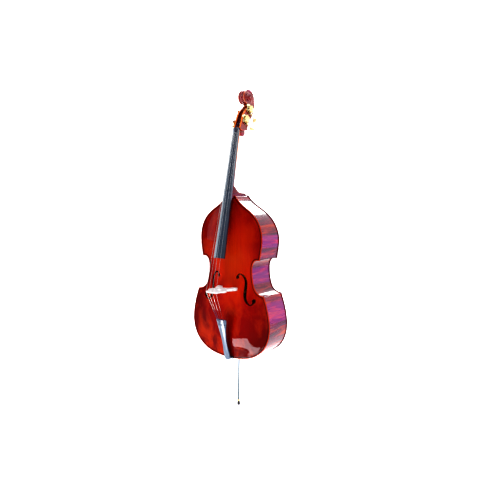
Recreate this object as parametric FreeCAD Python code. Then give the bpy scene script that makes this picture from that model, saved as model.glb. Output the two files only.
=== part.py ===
import FreeCAD, Part
import math
import os

# Three-quarter size double bass, standing on its endpin.
# Millimetres. +X is the treble (G string) side, -Y is the front, +Z is up.
# The origin is the middle of the rubber tip's foot, on the floor.
# Body places are written (x, back, up): back is measured behind the front edge plane,
# up is measured from the bottom edge of the body.

V = FreeCAD.Vector

# ---- driving dimensions -------------------------------------------------------------
LIFT = 365.0            # floor to the bottom edge of the body
EDGE = 110.0            # front edge plane to the endpin axis
BODY_TOP = 1114.0       # length of the body
PLATE = 6.0             # thickness of top and back plates
OVERHANG = 5.0          # plate edge beyond the ribs
RIB = 3.0
LINING = 10.0
LINING_TALL = 18.0
TOP_ARCH = 26.0
BACK_ARCH = 23.0
BACK_EDGE = [(-80.0, 221.0), (0.0, 221.0), (830.0, 207.0), (1200.0, 134.0)]  # (up, back) of the back edge

NECK_TILT = math.radians(11.6)
GLUE = (65.8, 1555.6)   # (back, up) of the board's glue plane at the nut
BOARD = 873.0
NUT_HALF = 21.5
BOARD_END_HALF = 44.5
HEEL_S = 381.0          # along the neck, where the heel starts

BRIDGE_UP = 485.0
CHEEK = 29.5            # half width of the pegbox
SCROLL = (155.0, 1775.0)

TEETH = 24
PITCH = 5.6             # worm and gear circular pitch
WORM_R = 6.0
GEAR_R = TEETH * PITCH / (2 * math.pi)
CENTRES = GEAR_R + WORM_R
GEAR_X = 39.5           # middle of the gear, from the middle of the head
FIT = 0.06              # running clearance on radius

TAIL_TOP = (-105.0, 284.0)
TAIL_DIR = (0.2734, -0.9619)
TAIL_LEN = 303.0

# string: radius, x at the nut, x at the bridge, height at the bridge, x at the tailpiece, slot place,
# x on the roller, roller (back, up), key direction (back, up), side of the gear, turn of the key wing
STRINGS = {
    "e": dict(r=1.4, nut=-15.5, bridge=-42.0, top=199.0, tail=-24.0, slot=15.0, wrap=-4.5,
              roller=(99.0, 1597.0), key=(0.92, -0.39), side=-1, wing=60),
    "a": dict(r=1.15, nut=-5.0, bridge=-14.0, top=204.0, tail=-8.0, slot=15.0, wrap=-3.0,
              roller=(149.0, 1663.0), key=(0.80, -0.60), side=-1, wing=-20),
    "d": dict(r=0.9, nut=5.0, bridge=14.0, top=204.0, tail=8.0, slot=15.0, wrap=3.0,
              roller=(170.0, 1702.0), key=(0.74, -0.673), side=1, wing=10),
    "g": dict(r=0.7, nut=15.5, bridge=42.0, top=199.0, tail=24.0, slot=15.0, wrap=7.0,
              roller=(125.0, 1631.0), key=(0.855, -0.519), side=1, wing=100),
}

NODES = {}


# ---- helpers ------------------------------------------------------------------------
def at(x, back, up):
    return V(x, back - EDGE, up + LIFT)


def neck_at(x, s, t):
    """A place by the neck: s down the board from the nut, t behind the glue plane."""
    sn, cs = math.sin(NECK_TILT), math.cos(NECK_TILT)
    return at(x, GLUE[0] - s * sn + t * cs, GLUE[1] - s * cs - t * sn)


def tail_at(x, s, t):
    """A place by the tailpiece: s down from its top end, t behind its front crown."""
    return at(x, TAIL_TOP[0] + s * TAIL_DIR[0] - t * TAIL_DIR[1], TAIL_TOP[1] + s * TAIL_DIR[1] + t * TAIL_DIR[0])


def loop(edges):
    return Part.Wire(Part.__sortEdges__(edges))


def polygon(points):
    return Part.makePolygon(points + [points[0]])


def side_prism(points, x0, x1):
    """A (back, up) outline, extruded across the instrument."""
    face = Part.Face(polygon([at(x0, b, u) for b, u in points]))
    return face.extrude(V(x1 - x0, 0, 0))


def front_prism(points, back0, back1):
    """An (x, up) outline, extruded from front to back."""
    face = Part.Face(polygon([at(x, back0, u) for x, u in points]))
    return face.extrude(V(0, back1 - back0, 0))


def smooth(points, start=None, end=None):
    """A curve through the points, with chord-length spacing."""
    places = [0.0]
    for a, b in zip(points, points[1:]):
        places.append(places[-1] + (b - a).Length)
    curve = Part.BSplineCurve()
    if start is None:
        curve.interpolate(Points=points, Parameters=places)
    else:
        curve.interpolate(Points=points, Parameters=places, InitialTangent=start.normalize(),
                          FinalTangent=end.normalize(), Scale=False)
    return curve.toShape()


def rod(points, radius, bend):
    """A round bar along a path, with bent corners."""
    edges = []
    last = points[0]
    for a, p, b in zip(points, points[1:], points[2:]):
        u = (p - a).normalize()
        w = (b - p).normalize()
        turn = u.getAngle(w)
        if turn < 1e-4:
            continue
        reach = bend * math.tan(turn / 2)
        inward = (w - u).normalize()
        centre = p + inward * (bend / math.cos(turn / 2))
        first = p - u * reach
        second = p + w * reach
        edges.append(Part.makeLine(last, first))
        edges.append(Part.Arc(first, centre - inward * bend, second).toShape())
        last = second
    edges.append(Part.makeLine(last, points[-1]))
    along = (points[1] - points[0]).normalize()
    ring = Part.Wire(Part.makeCircle(radius, points[0], along))
    return Part.Wire(edges).makePipeShell([ring], True, False)


def fuse(shapes):
    return shapes[0].multiFuse(shapes[1:]).removeSplitter()


def solids(shape):
    return Part.makeCompound(shape.Solids)


def keep(name, shape):
    NODES[name] = solids(shape)


# ---- body outline -------------------------------------------------------------------
UPPER = [(40, 1114), (91, 1059), (141, 1026), (192, 988), (229, 944), (254, 886), (262, 822), (256, 762),
         (245, 699)]
WAIST = [(243, 691), (212, 689), (191, 666), (184, 620), (187, 575), (196, 530), (214, 490), (250, 465),
         (280, 460)]
LOWER = [(284, 452), (301, 404), (318, 342), (330, 245), (318, 170), (291, 114), (250, 70), (190, 33),
         (120, 12), (50, 2.5), (0, 0)]


def half_outline(s):
    def curve(points, start, end):
        return smooth([at(s * x, 0, u) for x, u in points], V(s * start[0], 0, start[1]),
                      V(s * end[0], 0, end[1]))
    return [
        curve(UPPER, (0.5, -0.87), (-0.17, -0.98)),
        Part.makeLine(at(s * 245, 0, 699), at(s * 243, 0, 691)),
        curve(WAIST, (-1, -0.05), (1, 0.02)),
        Part.makeLine(at(s * 280, 0, 460), at(s * 284, 0, 452)),
        curve(LOWER, (0.33, -0.94), (-1, 0)),
    ]


TOP_EDGE = Part.makeLine(at(-40, 0, BODY_TOP), at(40, 0, BODY_TOP))
OUTLINE = Part.Face(loop(half_outline(1) + half_outline(-1) + [TOP_EDGE]))


INSETS = {0: OUTLINE}


def inset_outline(inset):
    """The outline moved inwards, with each edge redrawn as a plain curve."""
    if inset not in INSETS:
        edges = []
        for edge in OUTLINE.makeOffset2D(-inset).Edges:
            curve = Part.BSplineCurve()
            curve.interpolate(Points=edge.discretize(max(3, int(edge.Length / 20)) + 1))
            edges.append(curve.toShape())
        INSETS[inset] = Part.Face(loop(edges))
    return INSETS[inset].copy()


def outline_prism(inset, back0, back1):
    face = inset_outline(inset)
    face.translate(V(0, back0, 0))
    return solids(face.extrude(V(0, back1 - back0, 0)))


# ---- arched surfaces ----------------------------------------------------------------
ARCH_HALF = [(0, 318), (245, 318), (405, 282), (480, 212), (550, 178), (625, 168), (690, 190), (750, 234),
             (822, 249), (886, 241), (944, 222), (988, 194), (1026, 154), (1059, 116), (1114, 80)]


def blend(table, u):
    """Smooth curve through a table of (place, value)."""
    last = len(table) - 1
    if u <= table[0][0]:
        return table[0][1]
    if u >= table[last][0]:
        return table[last][1]

    def slope(k):
        if k == 0 or k == last:
            return 0.0
        return (table[k + 1][1] - table[k - 1][1]) / (table[k + 1][0] - table[k - 1][0])

    for k in range(last):
        u0, v0 = table[k]
        u1, v1 = table[k + 1]
        if u <= u1:
            w = (u - u0) / (u1 - u0)
            h = u1 - u0
            return (v0 * (1 + 2 * w) * (1 - w) ** 2 + slope(k) * h * w * (1 - w) ** 2
                    + v1 * w * w * (3 - 2 * w) - slope(k + 1) * h * w * w * (1 - w))


def arch(x, up, height):
    across = x / blend(ARCH_HALF, up)
    ends = ((up - 555.0) / 543.0) ** 4
    d = math.hypot(across, ends)
    if d >= 1:
        return 0.0
    return height * (1 + math.cos(math.pi * d ** 1.4)) / 2


def back_edge(up):
    for (u0, b0), (u1, b1) in zip(BACK_EDGE, BACK_EDGE[1:]):
        if up <= u1:
            return b0 + (b1 - b0) * (up - u0) / (u1 - u0)
    return BACK_EDGE[-1][1]


def spline_grid(low, high, step):
    """Cubic spline knots over a range, and the place that each pole stands for."""
    spans = int(round((high - low) / step))
    knots = [low + step * i for i in range(spans + 1)]
    full = [low] * 3 + knots + [high] * 3
    poles = [(full[i + 1] + full[i + 2] + full[i + 3]) / 3 for i in range(spans + 3)]
    return knots, [4] + [1] * (spans - 1) + [4], poles


XK, XM, XP = spline_grid(-350.0, 350.0, 25.0)
UK, UM, UP = spline_grid(-25.0, 1150.0, 25.0)


def arched_face(place):
    poles = [[place(x, u) for u in UP] for x in XP]
    surface = Part.BSplineSurface()
    surface.buildFromPolesMultsKnots(poles, XM, UM, XK, UK, False, False, 3, 3)
    return surface.toShape()


TOP_FACE = arched_face(lambda x, u: at(x, -arch(x, u, TOP_ARCH), u))
BACK_FACE = arched_face(lambda x, u: at(x, back_edge(u) + arch(x, u, BACK_ARCH), u))


def slab(face, back0, back1):
    """The space between two shifted copies of an arched face."""
    moved = face.copy()
    moved.translate(V(0, back0, 0))
    return moved.extrude(V(0, back1 - back0, 0))


UNDER_TOP = slab(TOP_FACE, PLATE, -60)
UNDER_BACK = slab(BACK_FACE, -PLATE, 60)
BEHIND_TOP = slab(TOP_FACE, 0, 60)

# the inside of the back edge, as a side view curve: everything between the plates is cut to it
inner_back = Part.BSplineCurve()
inner_back.buildFromPolesMultsKnots([at(-400, back_edge(u) - PLATE, u) for u in UP], UM, UK, False, 3)
corners = [at(-400, back_edge(-25) - PLATE, -25), at(-400, PLATE, -25), at(-400, PLATE, 1150),
           at(-400, back_edge(1150) - PLATE, 1150)]
RIB_SPACE = Part.Face(loop([inner_back.toShape()] + [Part.makeLine(a, b) for a, b in zip(corners, corners[1:])]))
RIB_SPACE = RIB_SPACE.extrude(V(800, 0, 0))


# ---- neck and heel ------------------------------------------------------------------
def neck_section(s, half, depth):
    arc = [neck_at(half * math.cos(math.radians(a)), s, depth * math.sin(math.radians(a)))
           for a in range(0, 181, 30)]
    behind = neck_at(0, s, 1) - neck_at(0, s, 0)
    back = smooth(arc, behind, behind * -1)
    return Part.Wire([back, Part.makeLine(arc[-1], arc[0])])


shaft = Part.makeLoft([neck_section(0, NUT_HALF, 24), neck_section(430, 31, 31)], True, True)
HEEL_LOW = 1092.0
heel_back = back_edge(HEEL_LOW) - PLATE
heel_curve = smooth([neck_at(0, HEEL_S, 0), at(0, 18, 1166), at(0, 44, 1144), at(0, 88, 1133), at(0, 130, 1128),
                     at(0, back_edge(1124) - PLATE, 1124)])
heel_front = neck_at(0, (GLUE[1] - HEEL_LOW) / math.cos(NECK_TILT), 0)
heel_points = [at(0, back_edge(1124) - PLATE, 1124), at(0, heel_back, HEEL_LOW), heel_front,
               neck_at(0, HEEL_S, 0)]
heel = Part.Face(loop([heel_curve] + [Part.makeLine(a, b) for a, b in zip(heel_points, heel_points[1:])]))
heel.translate(V(-40, 0, 0))
heel = heel.extrude(V(80, 0, 0))
HEEL_TAPER = [(-33, -60), (33, -60), (33, 10), (24, 160), (-24, 160), (-33, 10)]
taper = Part.Face(polygon([at(x, b, 1000) for x, b in HEEL_TAPER])).extrude(V(0, 0, 250))
heel = heel.common(taper)
neck = solids(fuse([shaft, heel]))
mortise = heel.copy()

# ---- plates and purfling ------------------------------------------------------------
top_plate = slab(TOP_FACE, 0, PLATE).common(outline_prism(0, -60, 40))
button = Part.makeCylinder(24, 300, at(0, 0, 1100), V(0, 1, 0))
back_outline = fuse([outline_prism(0, 60, 300), button])
back_plate = slab(BACK_FACE, 0, -PLATE).common(back_outline)

PURFLING_DEEP = 1.5
ring = outline_prism(7, -60, 280).cut(outline_prism(9.2, -61, 281))
top_groove = outline_prism(7, -10, PURFLING_DEEP).cut(outline_prism(9.2, -11, PURFLING_DEEP + 1))
back_groove = ring.common(slab(BACK_FACE, 5, -PURFLING_DEEP))
top_purfling = top_plate.common(top_groove)
back_purfling = back_plate.common(back_groove)

F_LINE = [(87, 588, 5.0), (101, 592.5, 4.0), (117, 584, 5.5), (131, 567, 7.0), (139, 546, 8.3), (140.5, 522, 9.2),
          (139, 496, 9.8), (137.5, 468, 10.2), (139, 442, 9.8), (146, 420, 8.3), (160, 402, 6.2), (178, 392.5, 4.0),
          (193, 397, 4.2)]
F_EYES = [((80, 570), 11.0), ((206, 421), 13.5)]


def f_hole(s):
    left = []
    right = []
    for k, (x, u, w) in enumerate(F_LINE):
        a = F_LINE[max(k - 1, 0)]
        b = F_LINE[min(k + 1, len(F_LINE) - 1)]
        length = math.hypot(b[0] - a[0], b[1] - a[1])
        nx, nu = -(b[1] - a[1]) / length, (b[0] - a[0]) / length
        left.append(at(s * (x + nx * w), -60, u + nu * w))
        right.append(at(s * (x - nx * w), -60, u - nu * w))
    (ex, eu), er = F_EYES[0]
    (lx, lu), lr = F_EYES[1]
    starts = [at(s * (ex - er * 0.6), -60, eu + er * 0.4), at(s * (ex + er * 0.6), -60, eu + er * 0.4)]
    ends = [at(s * (lx - lr * 0.6), -60, lu - lr * 0.4), at(s * (lx + lr * 0.6), -60, lu - lr * 0.4)]
    left = [starts[0]] + left + [ends[0]]
    right = [starts[1]] + right + [ends[1]]
    stem = Part.Face(loop([smooth(left), smooth(right), Part.makeLine(left[0], right[0]),
                           Part.makeLine(left[-1], right[-1])]))
    cuts = [stem.extrude(V(0, 90, 0))]
    for (x, u), r in F_EYES:
        cuts.append(Part.makeCylinder(r, 90, at(s * x, -60, u), V(0, 1, 0)))
    notch = [(127, 485), (139, 491), (151, 485), (139, 479)]
    cuts.append(front_prism([(s * x, u) for x, u in notch], -60, 30))
    return cuts


SADDLE = [(PLATE, 0.5), (-6.5, 0.5), (-9.2, 3.0), (-9.2, 9.0), (-5.0, 15.0), (PLATE, 15.0)]
saddle = side_prism(SADDLE, -36, 36)
saddle_notch = side_prism([(-15, -5), (PLATE, -5), (PLATE, 15), (-15, 15)], -36, 36)
top_plate = top_plate.cut(top_groove)
back_plate = back_plate.cut(back_groove)
for tool in f_hole(1) + f_hole(-1) + [mortise, saddle_notch]:
    top_plate = top_plate.cut(tool)
top_purfling = top_purfling.cut(mortise).cut(saddle_notch)

keep("top_plate", top_plate)
keep("back_plate", back_plate)
keep("top_purfling", top_purfling)
keep("back_purfling", back_purfling)
keep("saddle", saddle)

# ---- ribs, blocks and linings -------------------------------------------------------
rib_ring = outline_prism(OVERHANG, -5, 240).cut(outline_prism(OVERHANG + RIB, -6, 241)).common(RIB_SPACE)
rib_ring = rib_ring.cut(mortise)
C_UP = (246.0, 693.0)   # tips of the upper and lower corners
C_LOW = (284.0, 454.0)
waist_zone = [(C_UP[0] + 15, C_UP[1] - 15), (C_UP[0] - 150, C_UP[1] + 150), (0, C_UP[1] + 150),
              (0, C_LOW[1] - 150), (C_LOW[0] - 150, C_LOW[1] - 150), (C_LOW[0] + 15, C_LOW[1] + 15)]
for side, s in (("right", 1), ("left", -1)):
    middle = front_prism([(s * x, u) for x, u in waist_zone], -20, 260)
    half = front_prism([(0, -20), (s * 400, -20), (s * 400, 575), (0, 575)], -20, 260)
    upper = front_prism([(0, 575), (s * 400, 575), (s * 400, 1140), (0, 1140)], -20, 260)
    keep("rib_waist_" + side, rib_ring.common(middle))
    keep("rib_lower_" + side, rib_ring.common(half).cut(middle))
    keep("rib_upper_" + side, rib_ring.common(upper).cut(middle))

inside = outline_prism(OVERHANG + RIB, PLATE, 240).common(RIB_SPACE)
socket_bore = Part.makeCylinder(14.0, 80, at(0, EDGE, -30), V(0, 0, 1))
neck_block = inside.common(front_prism([(-62, 1045), (62, 1045), (62, 1120), (-62, 1120)], -5, 260)).cut(mortise)
tail_block = inside.common(front_prism([(-60, 0), (60, 0), (48, 46), (-48, 46)], -5, 260))
corner_wedges = []
for s in (1, -1):
    upper_wedge = [(s * 260, 680), (s * 190, 680), (s * 206, 722), (s * 232, 752), (s * 270, 752)]
    lower_wedge = [(s * 300, 470), (s * 226, 470), (s * 236, 438), (s * 262, 400), (s * 312, 400)]
    corner_wedges.append(inside.common(front_prism(upper_wedge, -5, 260)))
    corner_wedges.append(inside.common(front_prism(lower_wedge, -5, 260)))
blocks = [neck_block, tail_block] + corner_wedges
keep("neck_block", neck_block)
keep("tail_block", tail_block.cut(socket_bore))
keep("corner_blocks", Part.makeCompound(corner_wedges))

lining_ring = inside.cut(outline_prism(OVERHANG + RIB + LINING, -5, 240)).cut(mortise)
for block in blocks:
    lining_ring = lining_ring.cut(block)
BACK_ZONE = [(back_edge(u) - PLATE - LINING_TALL, u) for u in (-25, 0, 830, 1150)]
back_zone = side_prism(BACK_ZONE + [(300, 1150), (300, -25)], -400, 400)
front_zone = side_prism([(0, -25), (PLATE + LINING_TALL, -25), (PLATE + LINING_TALL, 1150), (0, 1150)], -400, 400)
keep("front_linings", lining_ring.common(front_zone))
keep("back_linings", lining_ring.common(back_zone))

# ---- bass bar and sound post --------------------------------------------------------
bar = [(-40, 230), (8, 230), (12, 480), (8, 840), (-40, 840), (-60, 500)]
keep("bass_bar", side_prism(bar, -76, -56).cut(UNDER_TOP))
post = Part.makeCylinder(9, 320, at(66, -60, 455), V(0, 1, 0))
keep("sound_post", post.cut(UNDER_TOP).cut(UNDER_BACK))

# ---- fingerboard and nut ------------------------------------------------------------
BOARD_SIDE = 12.0


def board_section(s, half, low, edge, crown):
    points = [neck_at(-half, s, low), neck_at(half, s, low), neck_at(half, s, -edge), neck_at(-half, s, -edge)]
    lines = [Part.makeLine(points[3], points[0]), Part.makeLine(points[0], points[1]),
             Part.makeLine(points[1], points[2])]
    return Part.Wire(lines + [Part.Arc(points[2], neck_at(0, s, -crown), points[3]).toShape()])


def board_half(s):
    return NUT_HALF + (BOARD_END_HALF - NUT_HALF) * s / BOARD


fingerboard = Part.makeLoft([board_section(0, NUT_HALF, 0, BOARD_SIDE, 17.5),
                             board_section(BOARD, BOARD_END_HALF, 0, BOARD_SIDE, 26.0)], True, True)
hollow = Part.makeLoft([board_section(455, board_half(455) - 9, 5, 2, 12),
                        board_section(900, board_half(900) - 9, 5, 2, 16)], True, True)
keep("fingerboard", fingerboard.cut(hollow))
nut = Part.makeLoft([board_section(-9, NUT_HALF, 0, 15.0, 20.5), board_section(0, NUT_HALF, 0, 16.5, 22.0)],
                    True, True)

# ---- head: pegbox, chin and scroll --------------------------------------------------
SPIRAL = [73, 54, 49, 43, 36, 29, 24, 20, 16, 12, 10]   # radius at each quarter turn, from the back


def spiral(angle):
    k = angle / 90.0
    i = min(int(k), len(SPIRAL) - 2)
    r = SPIRAL[i] + (SPIRAL[i + 1] - SPIRAL[i]) * (k - i)
    a = math.radians(angle)
    return (SCROLL[0] + r * math.cos(a), SCROLL[1] + r * math.sin(a))


def volute(first, half, shrink):
    turn = []
    for a in range(0, 361, 30):
        b, u = spiral(first + a)
        turn.append(at(-half, SCROLL[0] + (b - SCROLL[0]) * shrink, SCROLL[1] + (u - SCROLL[1]) * shrink))
    face = Part.Face(loop([smooth(turn), Part.makeLine(turn[-1], turn[0])]))
    return face.extrude(V(2 * half, 0, 0))


FRONT_EDGE = [(61.7, 1565.6), (79, 1604), (91, 1638), (106, 1666), (130, 1692), (153, 1711), (172, 1727)]
BACK_SIDE = [(140, 1553), (150, 1585), (163, 1612), (185, 1641), (206, 1674), (221, 1710), (228, 1745)]
crest = [spiral(a) for a in (0, 30, 60, 90, 120, 150, 180, 210, 240, 270)]
foot = [(140, 1553), (92.2, 1550.2), GLUE, (67.6, 1564.4), (61.7, 1565.6)]


def head_curve(points):
    return smooth([at(0, b, u) for b, u in points])


silhouette = [head_curve(FRONT_EDGE), Part.makeLine(at(0, 172, 1727), at(0, *crest[-1])),
              head_curve(BACK_SIDE + crest)]
silhouette += [Part.makeLine(at(0, *a), at(0, *b)) for a, b in zip(foot, foot[1:])]
silhouette = Part.Face(loop(silhouette))
silhouette.translate(V(-CHEEK, 0, 0))
head = silhouette.extrude(V(2 * CHEEK, 0, 0))
# the sides narrow from the pegbox up to the spine of the scroll
narrow = [(-CHEEK, 1500), (CHEEK, 1500), (CHEEK, 1725), (23, 1760), (23, 1850), (-23, 1850), (-23, 1760),
          (-CHEEK, 1725)]
head = head.common(front_prism(narrow, 0, 300))
chin = side_prism([(88, 1554), (86, 1532), (98, 1522), (112, 1513), (128, 1514), (138, 1526), (141, 1554)],
                  -17.5, 17.5)
eye = Part.makeCylinder(10, 87, at(-43.5, *SCROLL), V(1, 0, 0))
head = fuse([head, chin, volute(285, 31, 0.98), volute(465, 37, 0.88), eye])

CAVITY = [(40, 1562), (88, 1566), (120, 1580), (138, 1603), (163, 1643), (186, 1682), (198, 1708), (186, 1722),
          (166, 1720), (140, 1716), (100, 1716), (40, 1640)]
cavity = side_prism(CAVITY, -25, 25).common(front_prism([(-18.5, 1555), (18.5, 1555), (14, 1730), (-14, 1730)],
                                                        0, 300))
head = head.cut(cavity).cut(shaft).cut(nut)


def cavity_half(up):
    return 18.5 + (14 - 18.5) * (up - 1555) / (1730 - 1555)


# ---- strings ------------------------------------------------------------------------
DRUM_R = 8.5


def tail_front(x):
    return 75 - math.sqrt(75 ** 2 - x ** 2)


def string_path(k):
    b, u = k["roller"]
    nut_b, nut_u = 46.6 - (15.5 - abs(k["nut"])) * 0.22, 1560.0
    reach = math.hypot(b - nut_b, u - nut_u)
    radius = DRUM_R + k["r"] + 0.35
    # straight from the nut to where the string meets the front of its roller
    toward = math.atan2(u - nut_u, b - nut_b) + math.asin(radius / reach)
    run = math.sqrt(reach ** 2 - radius ** 2)
    meet = at(k["wrap"], nut_b + run * math.cos(toward), nut_u + run * math.sin(toward))
    front = tail_front(k["tail"]) - k["r"] - 0.5
    return [meet, at(k["nut"], nut_b, nut_u), at(k["bridge"], -k["top"], BRIDGE_UP),
            tail_at(k["tail"], 2, front), tail_at(k["tail"], k["slot"], front), tail_at(k["tail"], k["slot"], 19)]


strings = {}
for name, k in STRINGS.items():
    path = string_path(k)
    line = rod(path, k["r"], 4.0)
    ball = Part.makeCylinder(3.6, 7, path[-1] - V(3.5, 0, 0), V(1, 0, 0))
    strings[name] = fuse([line, ball])
    keep("string_" + name, strings[name])
    nut = nut.cut(rod(path[:3], k["r"] + 0.02, 4.0))

keep("nut", nut)

# ---- bridge -------------------------------------------------------------------------
HALF_BRIDGE = [(0, 206.5), (14, 205.5), (30, 202.5), (44, 198.5), (50, 192), (48, 178), (54, 160), (66, 148),
               (70, 128), (62, 112), (52, 106), (50, 96), (58, 82), (70, 66), (70, 50), (80, 38), (82, 12),
               (44, 12), (42, 38), (34, 50), (18, 60), (0, 64)]


def mirrored(points):
    return points + [(-x, h) for x, h in reversed(points) if x > 0]


def bridge_prism(points):
    face = Part.Face(polygon([at(x, -h, BRIDGE_UP - 4) for x, h in points]))
    return face.extrude(V(0, 0, 25))


wedge = side_prism([(0, BRIDGE_UP - 3.5), (-215, BRIDGE_UP - 3.5), (-215, BRIDGE_UP + 2.5), (-20, BRIDGE_UP + 16),
                    (0, BRIDGE_UP + 16)], -90, 90)
bridge = bridge_prism(mirrored(HALF_BRIDGE)).common(wedge)
HEART = [(0, 128), (10, 140), (24, 148), (30, 138), (26, 126), (12, 112), (0, 104), (-12, 112), (-26, 126),
         (-30, 138), (-24, 148), (-10, 140)]
bridge = bridge.cut(bridge_prism(HEART))
for s in (1, -1):
    kidney = [(s * 30, 104), (s * 44, 94), (s * 36, 76), (s * 26, 84)]
    bridge = bridge.cut(bridge_prism(kidney))
bridge = bridge.cut(BEHIND_TOP)
for name, k in STRINGS.items():
    bridge = bridge.cut(rod(string_path(k)[1:4], k["r"] + 0.02, 4.0))
keep("bridge", bridge)

# ---- tailpiece and its wire ---------------------------------------------------------
TAIL_HALF = [(33, 0), (41, 5), (42, 14), (37, 40), (29, 75), (21, 120), (18, 165), (19.5, 215), (23.5, 255),
             (24, 275), (20, 293), (10, 302), (0, TAIL_LEN)]
TAIL_THICK = 15.0
TAIL_THICK_END = 8.0
right = smooth([tail_at(w, s, -2) for w, s in TAIL_HALF])
left = smooth([tail_at(-w, s, -2) for w, s in TAIL_HALF])
flat = Part.Face(loop([right, left, Part.makeLine(tail_at(33, 0, -2), tail_at(-33, 0, -2))]))
behind = tail_at(0, 0, 1) - tail_at(0, 0, 0)
down = tail_at(0, 1, 0) - tail_at(0, 0, 0)
crown = Part.makeCylinder(75, 340, tail_at(0, -20, 75), down)
tailpiece = flat.extrude(behind * (TAIL_THICK + 2)).common(crown)
under = Part.Face(polygon([tail_at(-50, -5, TAIL_THICK), tail_at(-50, 310, TAIL_THICK_END),
                           tail_at(-50, 310, 40), tail_at(-50, -5, 40)])).extrude(V(100, 0, 0))
tailpiece = tailpiece.cut(under)
for name, k in STRINGS.items():
    x, s = k["tail"], k["slot"]
    tailpiece = tailpiece.cut(Part.makeCylinder(4.2, 30, tail_at(x, s + 21, -5), behind))
    w = k["r"] + 0.3
    slot = Part.Face(polygon([tail_at(x - w, s + 20, -5), tail_at(x + w, s + 20, -5), tail_at(x + w, s - 3, -5),
                              tail_at(x - w, s - 3, -5)])).extrude(behind * 30)
    tailpiece = tailpiece.cut(slot)
    tailpiece = tailpiece.cut(strings[name])

WIRE_R = 2.0
COLLAR_NECK = 11.0
wire_path = []
for s in (-1, 1):
    strand = [tail_at(s * 9, 280, 3), tail_at(s * 9, 280, 14.5), at(s * 9, -11.6, -4),
              at(s * 13.8, EDGE + 13.8, -9)]
    wire_path += strand if s < 0 else strand[::-1]
for s in (-1, 1):
    tailpiece = tailpiece.cut(Part.makeCylinder(WIRE_R + 0.02, 30, tail_at(s * 9, 280, -5), behind))
keep("tailpiece", tailpiece)
keep("tail_wire", rod(wire_path, WIRE_R, 3.0))

# ---- endpin -------------------------------------------------------------------------
ROD_R = 5.0
up = V(0, 0, 1)
socket = fuse([
    Part.makeCylinder(14, 58, at(0, EDGE, OVERHANG), up),
    Part.makeCylinder(18, 8, at(0, EDGE, OVERHANG - 8), up),
    Part.makeCylinder(COLLAR_NECK, 12, at(0, EDGE, OVERHANG - 20), up),
    Part.makeCylinder(15, 16, at(0, EDGE, OVERHANG - 36), up),
])
socket = socket.cut(Part.makeCylinder(ROD_R + FIT, 200, at(0, EDGE, -80), up))
SCREW_UP = OVERHANG - 28
socket = socket.cut(Part.makeCylinder(3 + FIT, 30, at(0, EDGE, SCREW_UP), V(1, 0, 0)))
keep("endpin_socket", socket)
for side in ("left", "right"):
    rib = NODES["rib_lower_" + side]
    keep("rib_lower_" + side, rib.cut(socket_bore))

screw = fuse([Part.makeCylinder(3, 16.5, V(ROD_R + 0.4, 0, LIFT + SCREW_UP), V(1, 0, 0)),
              Part.makeCylinder(7, 4, V(18, 0, LIFT + SCREW_UP), V(1, 0, 0))])
wing = Part.makeBox(12, 3.6, 26, V(22, -1.8, LIFT + SCREW_UP - 13))
wing = wing.common(Part.makeCylinder(13, 10, V(24, -5, LIFT + SCREW_UP), V(0, 1, 0)))
keep("endpin_screw", fuse([screw, wing]))

ROD_LOW = 8.0
ROD_HIGH = 440.0
pin = Part.makeCylinder(ROD_R, ROD_HIGH - ROD_LOW, V(0, 0, ROD_LOW), up)
keep("endpin_rod", pin)
tip = Part.Face(polygon([V(0, 0, 0), V(6, 0, 0), V(9, 0, 3), V(10, 0, 9), V(9, 0, 20), V(7.5, 0, 27), V(0, 0, 27)]))
tip = tip.revolve(V(0, 0, 0), up, 360).cut(pin)
keep("endpin_tip", tip)
ferrule = Part.makeCylinder(7.5, 8, V(0, 0, 30), up)
ferrule = fuse([ferrule, Part.makeCylinder(6.5, 3, V(0, 0, 27), up)])
keep("endpin_ferrule", ferrule.cut(pin))


# ---- tuning machines ----------------------------------------------------------------
LEAD_ANGLE = math.atan(PITCH / (2 * math.pi * WORM_R))
WORM_ROOT = 3.8
WORM_TIP = 7.6
PLATE_OUT = CHEEK + 2.0
GEAR_FACE = 6.0
LUG = 17.0              # middle of each worm bracket, from the mesh point


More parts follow.
